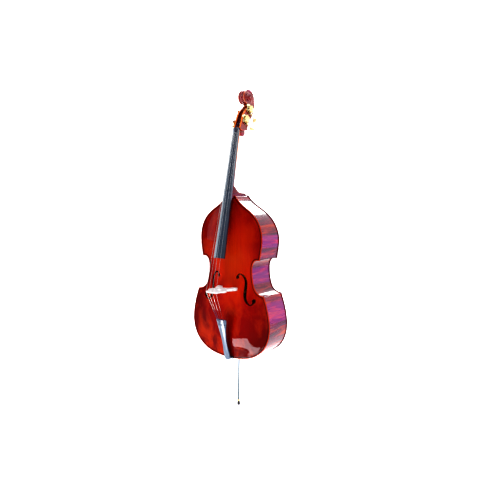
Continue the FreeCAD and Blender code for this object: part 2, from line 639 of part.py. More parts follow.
def machine(name, k):
    b, u = k["roller"]
    s = k["side"]
    length = math.hypot(*k["key"])
    kb, ku = k["key"][0] / length, k["key"][1] / length
    d = V(0, kb, ku)                # along the worm, towards the key
    n = V(0, ku, -kb)               # from the gear to the worm: the nut side
    across = V(s, 0, 0)
    centre = at(0, b, u)

    def place(x, a, c):
        return centre + across * x + d * a + n * c

    half = cavity_half(u)
    # roller: blind journal in one cheek, drum, journal through the other cheek, collar, spigot
    roller = fuse([
        Part.makeCylinder(6.0, half + 9, place(-half - 9, 0, 0), across),
        Part.makeCylinder(DRUM_R, 2 * half - 0.8, place(-half + 0.4, 0, 0), across),
        Part.makeCylinder(6.0, GEAR_X - 3, place(0, 0, 0), across),
        Part.makeCylinder(9.0, 4.6, place(PLATE_OUT + 0.35, 0, 0), across),
        Part.makeCylinder(5.0, GEAR_X + 3, place(0, 0, 0), across),
    ])
    roller = roller.cut(Part.makeCylinder(2.0, 12, place(GEAR_X - 7, 0, 0), across))
    holes = [Part.makeCylinder(6.0 + FIT, 2 * half + 20, place(-half - 9.4, 0, 0), across),
             Part.makeCylinder(6.0 + FIT, 40, place(0, 0, 0), across)]

    # coils of string on the drum
    r = k["r"]
    coils = 3
    step = -1 if k["wrap"] < 0 else 1
    x = k["wrap"] + step * (r + 0.9)
    edges = [Part.makeLine(at(x, b, u + DRUM_R), at(x, b, u + DRUM_R + r))]
    for i in range(coils):
        end = x + step * 2 * r
        edges.append(Part.Arc(at(x, b, u + DRUM_R + r), at((x + end) / 2, b, u + DRUM_R + 2 * r),
                              at(end, b, u + DRUM_R + r)).toShape())
        x = end
    edges.append(Part.makeLine(at(x, b, u + DRUM_R + r), at(x, b, u + DRUM_R)))
    edges.append(Part.makeLine(edges[-1].Vertexes[1].Point, edges[0].Vertexes[0].Point))
    wrap = Part.Face(loop(edges)).revolve(centre, V(1, 0, 0), 360)

    # gear: straight-flanked teeth, slanted to the worm's lead
    flanks = ((GEAR_R - 2.0, 1.75), (GEAR_R + 1.5, 0.7))

    def gear_wire(x, twist):
        points = []
        for i in range(TEETH):
            middle = (i + 0.5) * 2 * math.pi / TEETH + twist
            for radius, w in (flanks[0], flanks[1], (flanks[1][0], -flanks[1][1]), (flanks[0][0], -flanks[0][1])):
                a = middle - w / radius
                points.append(centre + V(s * x, 0, 0) + n * (radius * math.cos(a)) + d * (radius * math.sin(a)))
        return polygon(points)

    slant = s * GEAR_FACE / 2 * math.tan(LEAD_ANGLE) / GEAR_R
    gear = Part.makeLoft([gear_wire(GEAR_X - GEAR_FACE / 2, -slant), gear_wire(GEAR_X + GEAR_FACE / 2, slant)],
                         True, True)
    gear = gear.cut(Part.makeCylinder(5.0, 60, place(0, 0, 0), across))
    pin_head = fuse([Part.makeCylinder(6.5, 2.6, place(GEAR_X + 3, 0, 0), across),
                     Part.makeCylinder(2.0, 10, place(GEAR_X - 6.5, 0, 0), across)])
    gear = Part.makeCompound([gear, pin_head])

    # worm: helical thread on a core between two collars, with a journal at each end
    turns = 4
    length = turns * PITCH
    helix = Part.makeHelix(PITCH, length, WORM_ROOT - 0.2)
    tooth = Part.makePolygon([V(WORM_ROOT - 0.2, 0, -1.95), V(WORM_TIP, 0, -0.75), V(WORM_TIP, 0, 0.75),
                              V(WORM_ROOT - 0.2, 0, 1.95), V(WORM_ROOT - 0.2, 0, -1.95)])
    thread = Part.Wire(helix).makePipeShell([tooth], True, True)
    thread.translate(V(0, 0, -length / 2))
    worm = fuse([
        Part.makeCylinder(WORM_ROOT, 30, V(0, 0, -15), V(0, 0, 1)),
        thread,
        Part.makeCylinder(6.2, 1.2, V(0, 0, -14.5), V(0, 0, 1)),
        Part.makeCylinder(6.2, 1.2, V(0, 0, 13.3), V(0, 0, 1)),
        Part.makeCylinder(4.0, LUG + 3.5 - 13.3, V(0, 0, -LUG - 3.5), V(0, 0, 1)),
        Part.makeCylinder(4.0, LUG + 3.5 - 13.3, V(0, 0, 13.3), V(0, 0, 1)),
        Part.makeCylinder(6.0, 9.0, V(0, 0, LUG + 3.0), V(0, 0, 1)),
        Part.makeCylinder(4.6, 5.0, V(0, 0, LUG + 12.0), V(0, 0, 1)),
    ])
    worm = worm.cut(Part.makeCylinder(2.6, 30, V(0, 0, LUG - 2), V(0, 0, 1)))
    # key: thin shaft and a flat oval wing, turned to where the player left it
    wing_at = 80.0
    oval = Part.Ellipse(V(20, -3.5, 0), V(0, -3.5, 13), V(0, -3.5, 0)).toShape()
    wing = Part.Face(Part.Wire(oval)).extrude(V(0, 7, 0))
    wing = wing.makeFillet(2.0, [e for e in wing.Edges if e.Length > 60])
    wing.translate(V(0, 0, wing_at))
    wing.rotate(V(0, 0, 0), V(0, 0, 1), k["wing"])
    key = fuse([Part.makeCylinder(2.6, wing_at - 10 - LUG + 1, V(0, 0, LUG - 1), V(0, 0, 1)),
                Part.makeCylinder(4.2, 5, V(0, 0, wing_at - 16), V(0, 0, 1)), wing])
    mesh = place(GEAR_X, 0, CENTRES)
    turned = FreeCAD.Matrix(-n.x, 1, d.x, mesh.x, -n.y, 0, d.y, mesh.y, -n.z, 0, d.z, mesh.z, 0, 0, 0, 1)
    frame = FreeCAD.Placement(turned)
    worm.Placement = frame.multiply(worm.Placement)
    key.Placement = frame.multiply(key.Placement)

    # plate: scalloped brass, with two brackets that carry the worm
    discs = [(0, 0, 15), (-LUG, CENTRES, 8.5), (LUG, CENTRES, 8.5), (0, CENTRES - 4, 11)]
    spots = [(30, -8, 9), (22, -22, 10), (-26, -6, 10), (-38, 4, 7), (4, -26, 9), (38, -20, 6)]
    shapes = [Part.makeCylinder(r, 2.0, place(CHEEK, a, c), across) for a, c, r in discs]
    shapes += [Part.makeCylinder(r, 2.0, place(CHEEK, a, c), across) for a, c, r in spots]
    web = [(-LUG, CENTRES + 7), (LUG, CENTRES + 7), (26, 20), (34, -8), (38, -20), (22, -30), (4, -33), (-26, -14),
           (-38, 2), (-24, 18)]
    shapes.append(Part.Face(polygon([place(CHEEK, a, c) for a, c in web])).extrude(across * 2.0))
    for a in (-LUG, LUG):
        shapes.append(Part.makeCylinder(7.0, 4.4, place(GEAR_X, a - 2.2, CENTRES), d))
        foot_face = Part.Face(polygon([place(CHEEK, a - 2.2, CENTRES - 7), place(CHEEK, a - 2.2, CENTRES + 7),
                                       place(GEAR_X, a - 2.2, CENTRES + 7), place(GEAR_X, a - 2.2, CENTRES - 7)]))
        shapes.append(foot_face.extrude(d * 4.4))
    plate = fuse(shapes)
    plate = plate.cut(Part.makeCylinder(4.0 + FIT, 60, place(GEAR_X, -30, CENTRES), d)).cut(holes[1])
    fixings = []
    for a, c in ((22, -22), (-26, -6), (26, 2), (-22, 17), (4, -27)):
        fixings.append(fuse([Part.makeCylinder(3.4, 1.4, place(PLATE_OUT, a, c), across),
                             Part.makeCylinder(1.4, 9.0, place(PLATE_OUT - 8.9, a, c), across)]))
    for fixing in fixings:
        plate = plate.cut(fixing)
    return roller, wrap, gear, worm, key, plate, holes, fixings


all_fixings = []
for name, k in STRINGS.items():
    roller, wrap, gear, worm, key, plate, holes, fixings = machine(name, k)
    keep("roller_" + name, roller)
    keep("string_wrap_" + name, wrap)
    keep("gear_" + name, gear)
    keep("worm_" + name, worm)
    keep("key_" + name, key)
    keep("plate_" + name, plate)
    for tool in holes + fixings:
        head = head.cut(tool)
    all_fixings += fixings
keep("plate_screws", Part.makeCompound(all_fixings))
keep("scroll_head", head)
keep("neck", neck)

os.makedirs("parts", exist_ok=True)
for name, shape in NODES.items():
    shape.exportStep("parts/" + name + ".step")
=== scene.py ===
import math

import bmesh
import bpy
import numpy as np
from mathutils import Matrix, Vector
from mathutils.geometry import delaunay_2d_cdt


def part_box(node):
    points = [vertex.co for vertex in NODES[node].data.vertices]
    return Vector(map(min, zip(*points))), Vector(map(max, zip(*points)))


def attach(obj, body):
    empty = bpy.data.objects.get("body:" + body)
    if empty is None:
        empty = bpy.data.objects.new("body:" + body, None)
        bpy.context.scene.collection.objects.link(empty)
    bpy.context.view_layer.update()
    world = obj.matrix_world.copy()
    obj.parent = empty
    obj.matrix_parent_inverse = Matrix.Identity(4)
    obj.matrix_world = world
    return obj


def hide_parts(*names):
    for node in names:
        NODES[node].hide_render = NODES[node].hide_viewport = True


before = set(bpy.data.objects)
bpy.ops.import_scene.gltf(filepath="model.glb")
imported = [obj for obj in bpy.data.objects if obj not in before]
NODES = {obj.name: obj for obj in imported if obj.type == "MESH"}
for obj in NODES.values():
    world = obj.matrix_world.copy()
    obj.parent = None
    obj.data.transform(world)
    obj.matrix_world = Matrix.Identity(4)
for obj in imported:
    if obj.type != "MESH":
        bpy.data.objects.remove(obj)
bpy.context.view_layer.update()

MM = 0.001
BODY = "instrument"

# ---- the body's own frame, read from the CAD nodes --------------------------------------
# Places are written (x, back, up) in millimetres, as in the CAD part: back is behind the
# front edge plane, up is above the bottom edge of the body.
PLATE = 6.0
FRONT_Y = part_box("rib_waist_left")[0][1] / MM - PLATE
BOTTOM_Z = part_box("top_plate")[0][2] / MM


def at(x, back, up):
    return Vector((x * MM, (back + FRONT_Y) * MM, (up + BOTTOM_Z) * MM))


UPPER = [(40, 1114), (91, 1059), (141, 1026), (192, 988), (229, 944), (254, 886), (262, 822), (256, 762),
         (245, 699)]
WAIST = [(243, 691), (212, 689), (191, 666), (184, 620), (187, 575), (196, 530), (214, 490), (250, 465),
         (280, 460)]
LOWER = [(284, 452), (301, 404), (318, 342), (330, 245), (318, 170), (291, 114), (250, 70), (190, 33),
         (120, 12), (50, 2.5), (0, 0)]
OVERHANG = 5.0
RIB = 3.0
BACK_EDGE = [(-80, 221), (0, 221), (830, 207), (1200, 134)]
ARCH_HALF = [(0, 318), (245, 318), (405, 282), (480, 212), (550, 178), (625, 168), (690, 190), (750, 234),
             (822, 249), (886, 241), (944, 222), (988, 194), (1026, 154), (1059, 116), (1114, 80)]
TOP_ARCH = 26.0
BACK_ARCH = 23.0


# ---- curves -----------------------------------------------------------------------------
def curve(points, start=None, end=None, step=2.5):
    """A smooth curve through 2-D points: a cubic spline spaced by chord length."""
    p = np.array(points, float)
    h = np.linalg.norm(np.diff(p, axis=0), axis=1)
    u = np.concatenate([[0], np.cumsum(h)])
    n = len(p)
    first = (p[1] - p[0]) / h[0] if start is None else np.array(start, float) / np.linalg.norm(start)
    last = (p[-1] - p[-2]) / h[-1] if end is None else np.array(end, float) / np.linalg.norm(end)
    m = np.zeros((n, n))
    rhs = np.zeros((n, 2))
    m[0, 0] = m[-1, -1] = 1
    rhs[0], rhs[-1] = first, last
    for i in range(1, n - 1):
        m[i, i - 1] = 1 / h[i - 1]
        m[i, i] = 2 / h[i - 1] + 2 / h[i]
        m[i, i + 1] = 1 / h[i]
        rhs[i] = 3 * ((p[i] - p[i - 1]) / h[i - 1] ** 2 + (p[i + 1] - p[i]) / h[i] ** 2)
    d = np.linalg.solve(m, rhs)
    t = np.linspace(0, u[-1], max(3, int(u[-1] / step) + 1))
    k = np.clip(np.searchsorted(u, t, side="right") - 1, 0, n - 2)
    w = ((t - u[k]) / h[k])[:, None]
    hk = h[k][:, None]
    return (p[k] * (1 + 2 * w) * (1 - w) ** 2 + d[k] * hk * w * (1 - w) ** 2
            + p[k + 1] * w * w * (3 - 2 * w) - d[k + 1] * hk * w * w * (1 - w))


SEGMENTS = {
    "upper": curve(UPPER, (0.5, -0.87), (-0.17, -0.98)),
    "waist": curve(WAIST, (-1, -0.05), (1, 0.02)),
    "lower": curve(LOWER, (0.33, -0.94), (-1, 0)),
}


def mirrored(points):
    return np.array(points)[::-1] * np.array([-1, 1])


right_side = np.concatenate([SEGMENTS[n] for n in ("upper", "waist", "lower")])
OUTLINE = np.concatenate([right_side[:-1], mirrored(right_side), [[-20, 1114], [0, 1114], [20, 1114]]])


def in_polygon(points, poly):
    inside = np.zeros(len(points), bool)
    x, y = points[:, 0], points[:, 1]
    for (x0, y0), (x1, y1) in zip(poly, np.roll(poly, -1, axis=0)):
        if y0 == y1:
            continue
        crosses = (y0 > y) != (y1 > y)
        inside ^= crosses & (x < (x1 - x0) * (y - y0) / (y1 - y0) + x0)
    return inside


def distance(points, poly, closed=True):
    a = np.array(poly)
    b = np.roll(a, -1, axis=0)
    if not closed:
        a, b = a[:-1], b[:-1]
    ab = b - a
    size = np.maximum((ab ** 2).sum(1), 1e-12)
    out = np.empty(len(points))
    for i in range(0, len(points), 2000):
        p = points[i:i + 2000, None, :]
        t = np.clip(((p - a) * ab).sum(2) / size, 0, 1)
        out[i:i + 2000] = np.sqrt(((p - a - t[..., None] * ab) ** 2).sum(2)).min(1)
    return out


def normals_of(poly, closed=True):
    """Unit normals on the right-hand side of each point's way along the line."""
    p = np.array(poly)
    along = np.roll(p, -1, axis=0) - np.roll(p, 1, axis=0)
    if not closed:
        along[0], along[-1] = p[1] - p[0], p[-1] - p[-2]
    along /= np.maximum(np.linalg.norm(along, axis=1), 1e-9)[:, None]
    return np.stack([along[:, 1], -along[:, 0]], 1)


def rings(poly, depths, inward=1):
    """Points at set distances inside (or outside) a closed outline."""
    n = normals_of(poly)
    signed = 0.5 * np.sum(poly[:, 0] * np.roll(poly[:, 1], -1) - np.roll(poly[:, 0], -1) * poly[:, 1])
    n = n * (1 if signed < 0 else -1) * inward
    out = []
    for d in depths:
        q = poly + n * d
        out.append(q[distance(q, poly) > d - 0.05])
    return np.concatenate(out)


def grid(poly, step):
    low, high = poly.min(0), poly.max(0)
    xs = np.arange(low[0] + step * 0.37, high[0], step)
    ys = np.arange(low[1] + step * 0.41, high[1], step)
    return np.array([(x, y) for y in ys for x in xs])


def triangles(outline, holes, extra, clear):
    """Triangles that fill an outline less its holes, through extra points kept clear of the edges."""
    loops = [np.array(outline)] + [np.array(h) for h in holes]
    keep_points = in_polygon(extra, loops[0])
    for h in loops[1:]:
        keep_points &= ~in_polygon(extra, h)
    extra = extra[keep_points]
    for h in loops:
        extra = extra[distance(extra, h) > clear]
    points, edges = [], []
    for h in loops:
        base = len(points)
        points += [tuple(p) for p in h]
        edges += [(base + i, base + (i + 1) % len(h)) for i in range(len(h))]
    points += [tuple(p) for p in extra]
    made = delaunay_2d_cdt([Vector(p) for p in points], edges, [], 0, 1e-4)
    verts = np.array([tuple(v) for v in made[0]])
    faces = np.array([f for f in made[2] if len(f) == 3])
    middle = verts[faces].mean(1)
    good = in_polygon(middle, loops[0])
    for h in loops[1:]:
        good &= ~in_polygon(middle, h)
    return verts, faces[good]


def add_mesh(name, verts, faces, sharp=38, merge=0.02):
    mesh = bpy.data.meshes.new(name)
    mesh.from_pydata([tuple(v) for v in verts], [], [tuple(int(i) for i in f) for f in faces])
    obj = bpy.data.objects.new(name, mesh)
    bpy.context.scene.collection.objects.link(obj)
    tidy_mesh(mesh, sharp, merge)
    return obj


def tidy_mesh(mesh, sharp=38, merge=0.02):
    bm = bmesh.new()
    bm.from_mesh(mesh)
    if merge:
        bmesh.ops.remove_doubles(bm, verts=bm.verts, dist=merge * MM)
    bmesh.ops.recalc_face_normals(bm, faces=bm.faces)
    bm.to_mesh(mesh)
    bm.free()
    mesh.polygons.foreach_set("use_smooth", [True] * len(mesh.polygons))
    if sharp:
        mesh.set_sharp_from_angle(angle=math.radians(sharp))
    mesh.update()


def modifier(obj, kind, **settings):
    m = obj.modifiers.new(kind.lower(), kind)
    for key, value in settings.items():
        setattr(m, key, value)
    return m


def apply_modifiers(obj):
    depsgraph = bpy.context.evaluated_depsgraph_get()
    mesh = bpy.data.meshes.new_from_object(obj.evaluated_get(depsgraph))
    obj.modifiers.clear()
    obj.data = mesh


# ---- arched plates ----------------------------------------------------------------------
def blend(table, u):
    t = np.array(table, float)
    x, v = t[:, 0], t[:, 1]
    slope = np.zeros(len(x))
    slope[1:-1] = (v[2:] - v[:-2]) / (x[2:] - x[:-2])
    u = np.clip(u, x[0], x[-1])
    k = np.clip(np.searchsorted(x, u, side="right") - 1, 0, len(x) - 2)
    h = x[k + 1] - x[k]
    w = (u - x[k]) / h
    return (v[k] * (1 + 2 * w) * (1 - w) ** 2 + slope[k] * h * w * (1 - w) ** 2
            + v[k + 1] * w * w * (3 - 2 * w) - slope[k + 1] * h * w * w * (1 - w))


def arch(x, up, height):
    d = np.minimum(np.hypot(x / blend(ARCH_HALF, up), ((up - 555.0) / 543.0) ** 4), 1)
    return height * (1 + np.cos(np.pi * d ** 1.4)) / 2


def back_edge(up):
    t = np.array(BACK_EDGE, float)
    soft = [np.interp(up + s, t[:, 0], t[:, 1]) for s in (-36, -12, 12, 36)]
    return sum(soft) / 4


F_LINE = [(87, 588, 5.0), (101, 592.5, 4.0), (117, 584, 5.5), (131, 567, 7.0), (139, 546, 8.3), (140.5, 522, 9.2),
          (139, 496, 9.8), (137.5, 468, 10.2), (139, 442, 9.8), (146, 420, 8.3), (160, 402, 6.2), (178, 392.5, 4.0),
          (193, 397, 4.2)]
F_EYES = [((80, 570), 11.0), ((206, 421), 13.5)]


def f_hole():
    """The right-hand f-hole: a stem between two round eyes, as overlapping outlines."""
    line = np.array(F_LINE)
    way = np.concatenate([[line[1] - line[0]], line[2:] - line[:-2], [line[-1] - line[-2]]])[:, :2]
    way /= np.linalg.norm(way, axis=1)[:, None]
    n = np.stack([-way[:, 1], way[:, 0]], 1)
    (upper, ur), (lower, lr) = F_EYES
    sides = []
    for sign in (1, -1):
        first = (upper[0] - sign * ur * 0.6, upper[1] + ur * 0.4)
        last = (lower[0] - sign * lr * 0.6, lower[1] - lr * 0.4)
        sides.append(curve([first] + list(line[:, :2] + sign * n * line[:, 2:]) + [last], step=2.0))
    a = np.linspace(0, 2 * math.pi, 48, endpoint=False)
    circles = [np.stack([c[0] + r * np.cos(a), c[1] + r * np.sin(a)], 1) for c, r in F_EYES]
    nick = np.array([(127, 485), (139, 479), (151, 485), (139, 491)], float)
    return [np.concatenate([sides[0], sides[1][::-1]]), nick] + circles


F_RIGHT = f_hole()
F_LEFT = [mirrored(h) for h in F_RIGHT]
EDGE_ROUND = 2.7


def plate(name, outline, holes, face, sign):
    """A carved plate: outer surface, bare inner surface one thickness behind it, and dark hole walls."""
    extra = [grid(outline, 6.0), rings(outline, (0.5, 1.1, 1.9, 2.8, 4.5, 6.9, 7.1, 9.1, 9.3, 11, 14, 18))]
    for h in holes:
        extra.append(rings(h, (0.9, 3.0), inward=-1))
    pts, tris = triangles(outline, holes, np.concatenate(extra), 0.4)
    d = distance(pts, OUTLINE if name == "top" else outline)
    outer = face(pts[:, 0], pts[:, 1])
    # the channel that runs round inside the edge
    outer = outer + sign * 0.9 * np.exp(-((d - 13) / 5.0) ** 2)
    inner = face(pts[:, 0], pts[:, 1]) + sign * PLATE
    lost = np.clip(EDGE_ROUND - d, 0, None)
    bead = EDGE_ROUND - np.sqrt(EDGE_ROUND ** 2 - lost ** 2)
    for h in holes:
        bead = np.maximum(bead, np.clip(0.7 - distance(pts, h), 0, None) * 0.8)
    outer = outer + sign * bead
    inner = inner - sign * np.clip(bead, 0, 2.6)
    n = len(pts)
    verts = [at(x, y, u) for (x, u), y in zip(pts, outer)] + [at(x, y, u) for (x, u), y in zip(pts, inner)]
    count = {}
    for f in tris:
        for a, b in ((f[0], f[1]), (f[1], f[2]), (f[2], f[0])):
            key = (min(a, b), max(a, b))
            count[key] = count.get(key, 0) + 1
    walls = [(a, b, b + n, a + n) for (a, b), c in count.items() if c == 1]
    obj = add_mesh(name, verts, [tuple(f) for f in tris] + [tuple(f[::-1] + n) for f in tris] + walls, merge=0)
    index = np.zeros(len(obj.data.polygons), int)
    index[len(tris):2 * len(tris)] = d[tris].mean(1) > 8
    for i, (a, b, _, _) in enumerate(walls):
        if d[a] > 12 and d[b] > 12:
            index[2 * len(tris) + i] = 2
    for _ in range(3):
        obj.data.materials.append(None)
    obj.data.polygons.foreach_set("material_index", index)
    attribute = obj.data.attributes.new("edge_mm", "FLOAT", "POINT")
    attribute.data.foreach_set("value", np.concatenate([d, np.full(n, 60.0)]).astype(np.float32))
    return obj


# the neck's mortise and the saddle's notch are left out of the outline
HEEL = 33.0
HEEL_LOW = 1092.0
top_outline = OUTLINE[np.abs(OUTLINE[:, 0]) > HEEL + 0.5]
start = np.argmax((top_outline[:, 0] > 0) & (np.roll(top_outline[:, 0], 1) < 0) & (top_outline[:, 1] > 1000))
top_outline = np.roll(top_outline, -start, axis=0)
split = np.argmin(np.where(top_outline[:, 1] < 20, np.abs(top_outline[:, 0] - 36.5), 999))
split2 = np.argmin(np.where(top_outline[:, 1] < 20, np.abs(top_outline[:, 0] + 36.5), 999))
saddle_notch = [(36.3, 1.2), (36.3, 15), (-36.3, 15), (-36.3, 1.2)]
top_outline = np.concatenate([top_outline[:split + 1], saddle_notch, top_outline[split2:],
                              [(-HEEL, 1113), (-HEEL, HEEL_LOW), (HEEL, HEEL_LOW), (HEEL, 1113)]])
top = plate("top", top_outline, F_RIGHT + F_LEFT, lambda x, u: -arch(x, u, TOP_ARCH), 1)
BUTTON = (1100.0, 24.0)
arc = [(BUTTON[1] * math.cos(a), BUTTON[0] + BUTTON[1] * math.sin(a))
       for a in np.linspace(math.pi, 0, 24) if BUTTON[0] + BUTTON[1] * math.sin(a) > 1114.3]
back_outline = np.concatenate([OUTLINE[OUTLINE[:, 1] < 1113.9], [(-38, 1114), (-30, 1114)], arc,
                               [(30, 1114), (38, 1114)]])
back = plate("back", back_outline, [], lambda x, u: back_edge(u) + arch(x, u, BACK_ARCH), -1)

# ---- ribs -------------------------------------------------------------------------------
C_UP = (246.0, 693.0)
C_LOW = (284.0, 454.0)
WAIST_ZONE = np.array([(C_UP[0] + 15, C_UP[1] - 15), (C_UP[0] - 150, C_UP[1] + 150), (0, C_UP[1] + 150),
                       (0, C_LOW[1] - 150), (C_LOW[0] - 150, C_LOW[1] - 150), (C_LOW[0] + 15, C_LOW[1] + 15)])


def rib_line(part, inset):
    """The rib's line at one distance inside the outline, cut at the corner mitres."""
    p = SEGMENTS[part]
    q = p + normals_of(p, closed=False) * inset
    inside = in_polygon(q, WAIST_ZONE)
    good = inside if part == "waist" else ~inside
    if part == "upper":
        good &= (q[:, 1] <= 1114 - inset) & (q[:, 0] > HEEL)
    index = np.where(good)[0]
    line = list(q[index[0]:index[-1] + 1])
    # run on to the mitre itself
    for end, step in ((0, -1), (-1, 1)):
        i = index[end]
        j = i + step
        if 0 <= j < len(q) and not (part == "upper" and end == 0):
            a, b = q[i], q[j]
            for _ in range(12):
                m = (a + b) / 2
                if in_polygon(np.array([m]), WAIST_ZONE)[0] == (part == "waist"):
                    a = m
                else:
                    b = m
            line.insert(0, a) if end == 0 else line.append(a)
    if part == "upper":
        line.insert(0, np.array([HEEL, 1114 - inset]))
    if part == "lower":
        line[-1] = np.array([0.0, inset])
    return np.array(line)


def resample(line, n):
    s = np.concatenate([[0], np.cumsum(np.linalg.norm(np.diff(line, axis=0), axis=1))])
    t = np.linspace(0, s[-1], n)
    return np.stack([np.interp(t, s, line[:, 0]), np.interp(t, s, line[:, 1])], 1)


def rib(part, side, s):
    n = {"upper": 220, "waist": 150, "lower": 320}[part]
    rows = 26
    outer = resample(rib_line(part, OVERHANG), n)
    inner = resample(rib_line(part, OVERHANG + RIB), n)
    verts, faces = [], []
    for line in (outer, inner):
        for x, u in line:
            low, high = PLATE - 0.4, back_edge(u) - PLATE + 0.4
            verts += [at(s * x, low + (high - low) * r / (rows - 1), u) for r in range(rows)]
    size = n * rows
    for i in range(n - 1):
        for r in range(rows - 1):
            a = i * rows + r
            faces.append((a, a + 1, a + rows + 1, a + rows))
            faces.append((size + a, size + a + rows, size + a + rows + 1, size + a + 1))
        for r in (0, rows - 1):
            a = i * rows + r
            faces.append((a, a + rows, size + a + rows, size + a))
    for i in (0, n - 1):
        for r in range(rows - 1):
            a = i * rows + r
            faces.append((a, a + 1, size + a + 1, size + a))
    return add_mesh("rib-%s-%s" % (part, side), verts, faces, merge=0)


# ---- head: pegbox and scroll, carved as one piece ---------------------------------------
SCROLL = (155.0, 1775.0)
SPIRAL = [73, 54, 49, 43, 36, 29, 24, 20, 16, 12.5, 10]
EYE_R = 9.5
EYE_OUT = 43.3
CHEEK = 29.5
SPINE = 22.5
FRONT_EDGE = [(61.7, 1565.6), (79, 1604), (91, 1638), (106, 1666), (130, 1692), (153, 1711), (172, 1727)]
BACK_SIDE = [(140, 1553), (150, 1585), (163, 1612), (185, 1641), (206, 1674), (221, 1710), (228, 1745)]
GLUE = (65.8, 1555.6)
CAVITY = [(40, 1562), (88, 1566), (120, 1580), (138, 1603), (163, 1643), (186, 1682), (198, 1708), (186, 1722),
          (166, 1720), (140, 1716), (100, 1716), (40, 1640)]


def spiral_radius(angle):
    """Radius of the volute's edge after a turn of angle degrees from the back."""
    k = np.arange(len(SPIRAL)) * 90.0
    r = np.array(SPIRAL, float)
    slope = np.gradient(r, k)
    a = np.clip(angle, 0, k[-1])
    i = np.clip((a // 90).astype(int), 0, len(r) - 2)
    w = (a - k[i]) / 90
    return (r[i] * (1 + 2 * w) * (1 - w) ** 2 + slope[i] * 90 * w * (1 - w) ** 2
            + r[i + 1] * w * w * (3 - 2 * w) - slope[i + 1] * 90 * w * w * (1 - w))


def step_up(x, a, b):
    t = np.clip((x - a) / (b - a), 0, 1)
    return t * t * (3 - 2 * t)


def head_half(points):
    """Half width of the head at each (back, up): cheeks, then a spine, then the volute's turns."""
    rel = points - np.array(SCROLL)
    r = np.hypot(rel[:, 0], rel[:, 1])
    theta = np.degrees(np.arctan2(rel[:, 1], rel[:, 0])) % 360
    width = CHEEK + (SPINE - CHEEK) * step_up(points[:, 1], 1712, 1768)
    for k in range(3):
        phi = theta + 360 * k
        outer = spiral_radius(phi)
        inner = spiral_radius(phi + 360) if k < 2 else np.full(len(r), EYE_R)
        if k == 0:
            began = (phi > 288) | (phi < 270)
        else:
            began = phi <= 900
        here = began & (r <= outer + 0.02) & (points[:, 1] > 1700)
        s = np.clip((outer - r) / np.maximum(outer - inner, 0.5), 0, 1)
        turn = SPINE + (EYE_OUT - 2 - SPINE) * phi / 900
        scoop = (2.5 + 4.5 * s) * np.sin(np.pi * np.clip(s * 1.05, 0, 1)) * step_up(phi, 0, 70)
        edge = 1.6 * np.exp(-(outer - r) / 0.9) * step_up(phi, 0, 40)
        width = np.where(here, turn - scoop - edge, width)
    dome = EYE_OUT - 1.5 * (r / EYE_R) ** 4
    return np.where(r < EYE_R, dome, width)


crest_angles = np.arange(4, 271, 3.0)
crest = np.stack([SCROLL[0] + spiral_radius(crest_angles) * np.cos(np.radians(crest_angles)),
                  SCROLL[1] + spiral_radius(crest_angles) * np.sin(np.radians(crest_angles))], 1)
front_line = curve(FRONT_EDGE, step=2.5)
back_line = curve(BACK_SIDE + [tuple(crest[0])], end=crest[1] - crest[0], step=2.5)
under = np.array([(128, 1551.6), (116, 1551.2), (104, 1550.6), (92.2, 1550.2), (83, 1552), (74, 1553.8), GLUE,
                  (66.8, 1560), (67.6, 1564.4)])
throat = curve([tuple(crest[-1]), (163, 1733), (170, 1731.5), (173.5, 1729), (172, 1727)], step=2.0)
silhouette = np.concatenate([front_line[:-1], throat[::-1][:-1], crest[::-1], back_line[::-1][1:], under])


FLUTE_DEPTH = 4.2
RIM_ROUND, RIM_FALL = 1.8, 0.45     # the head's edges round off over this many millimetres, this fast


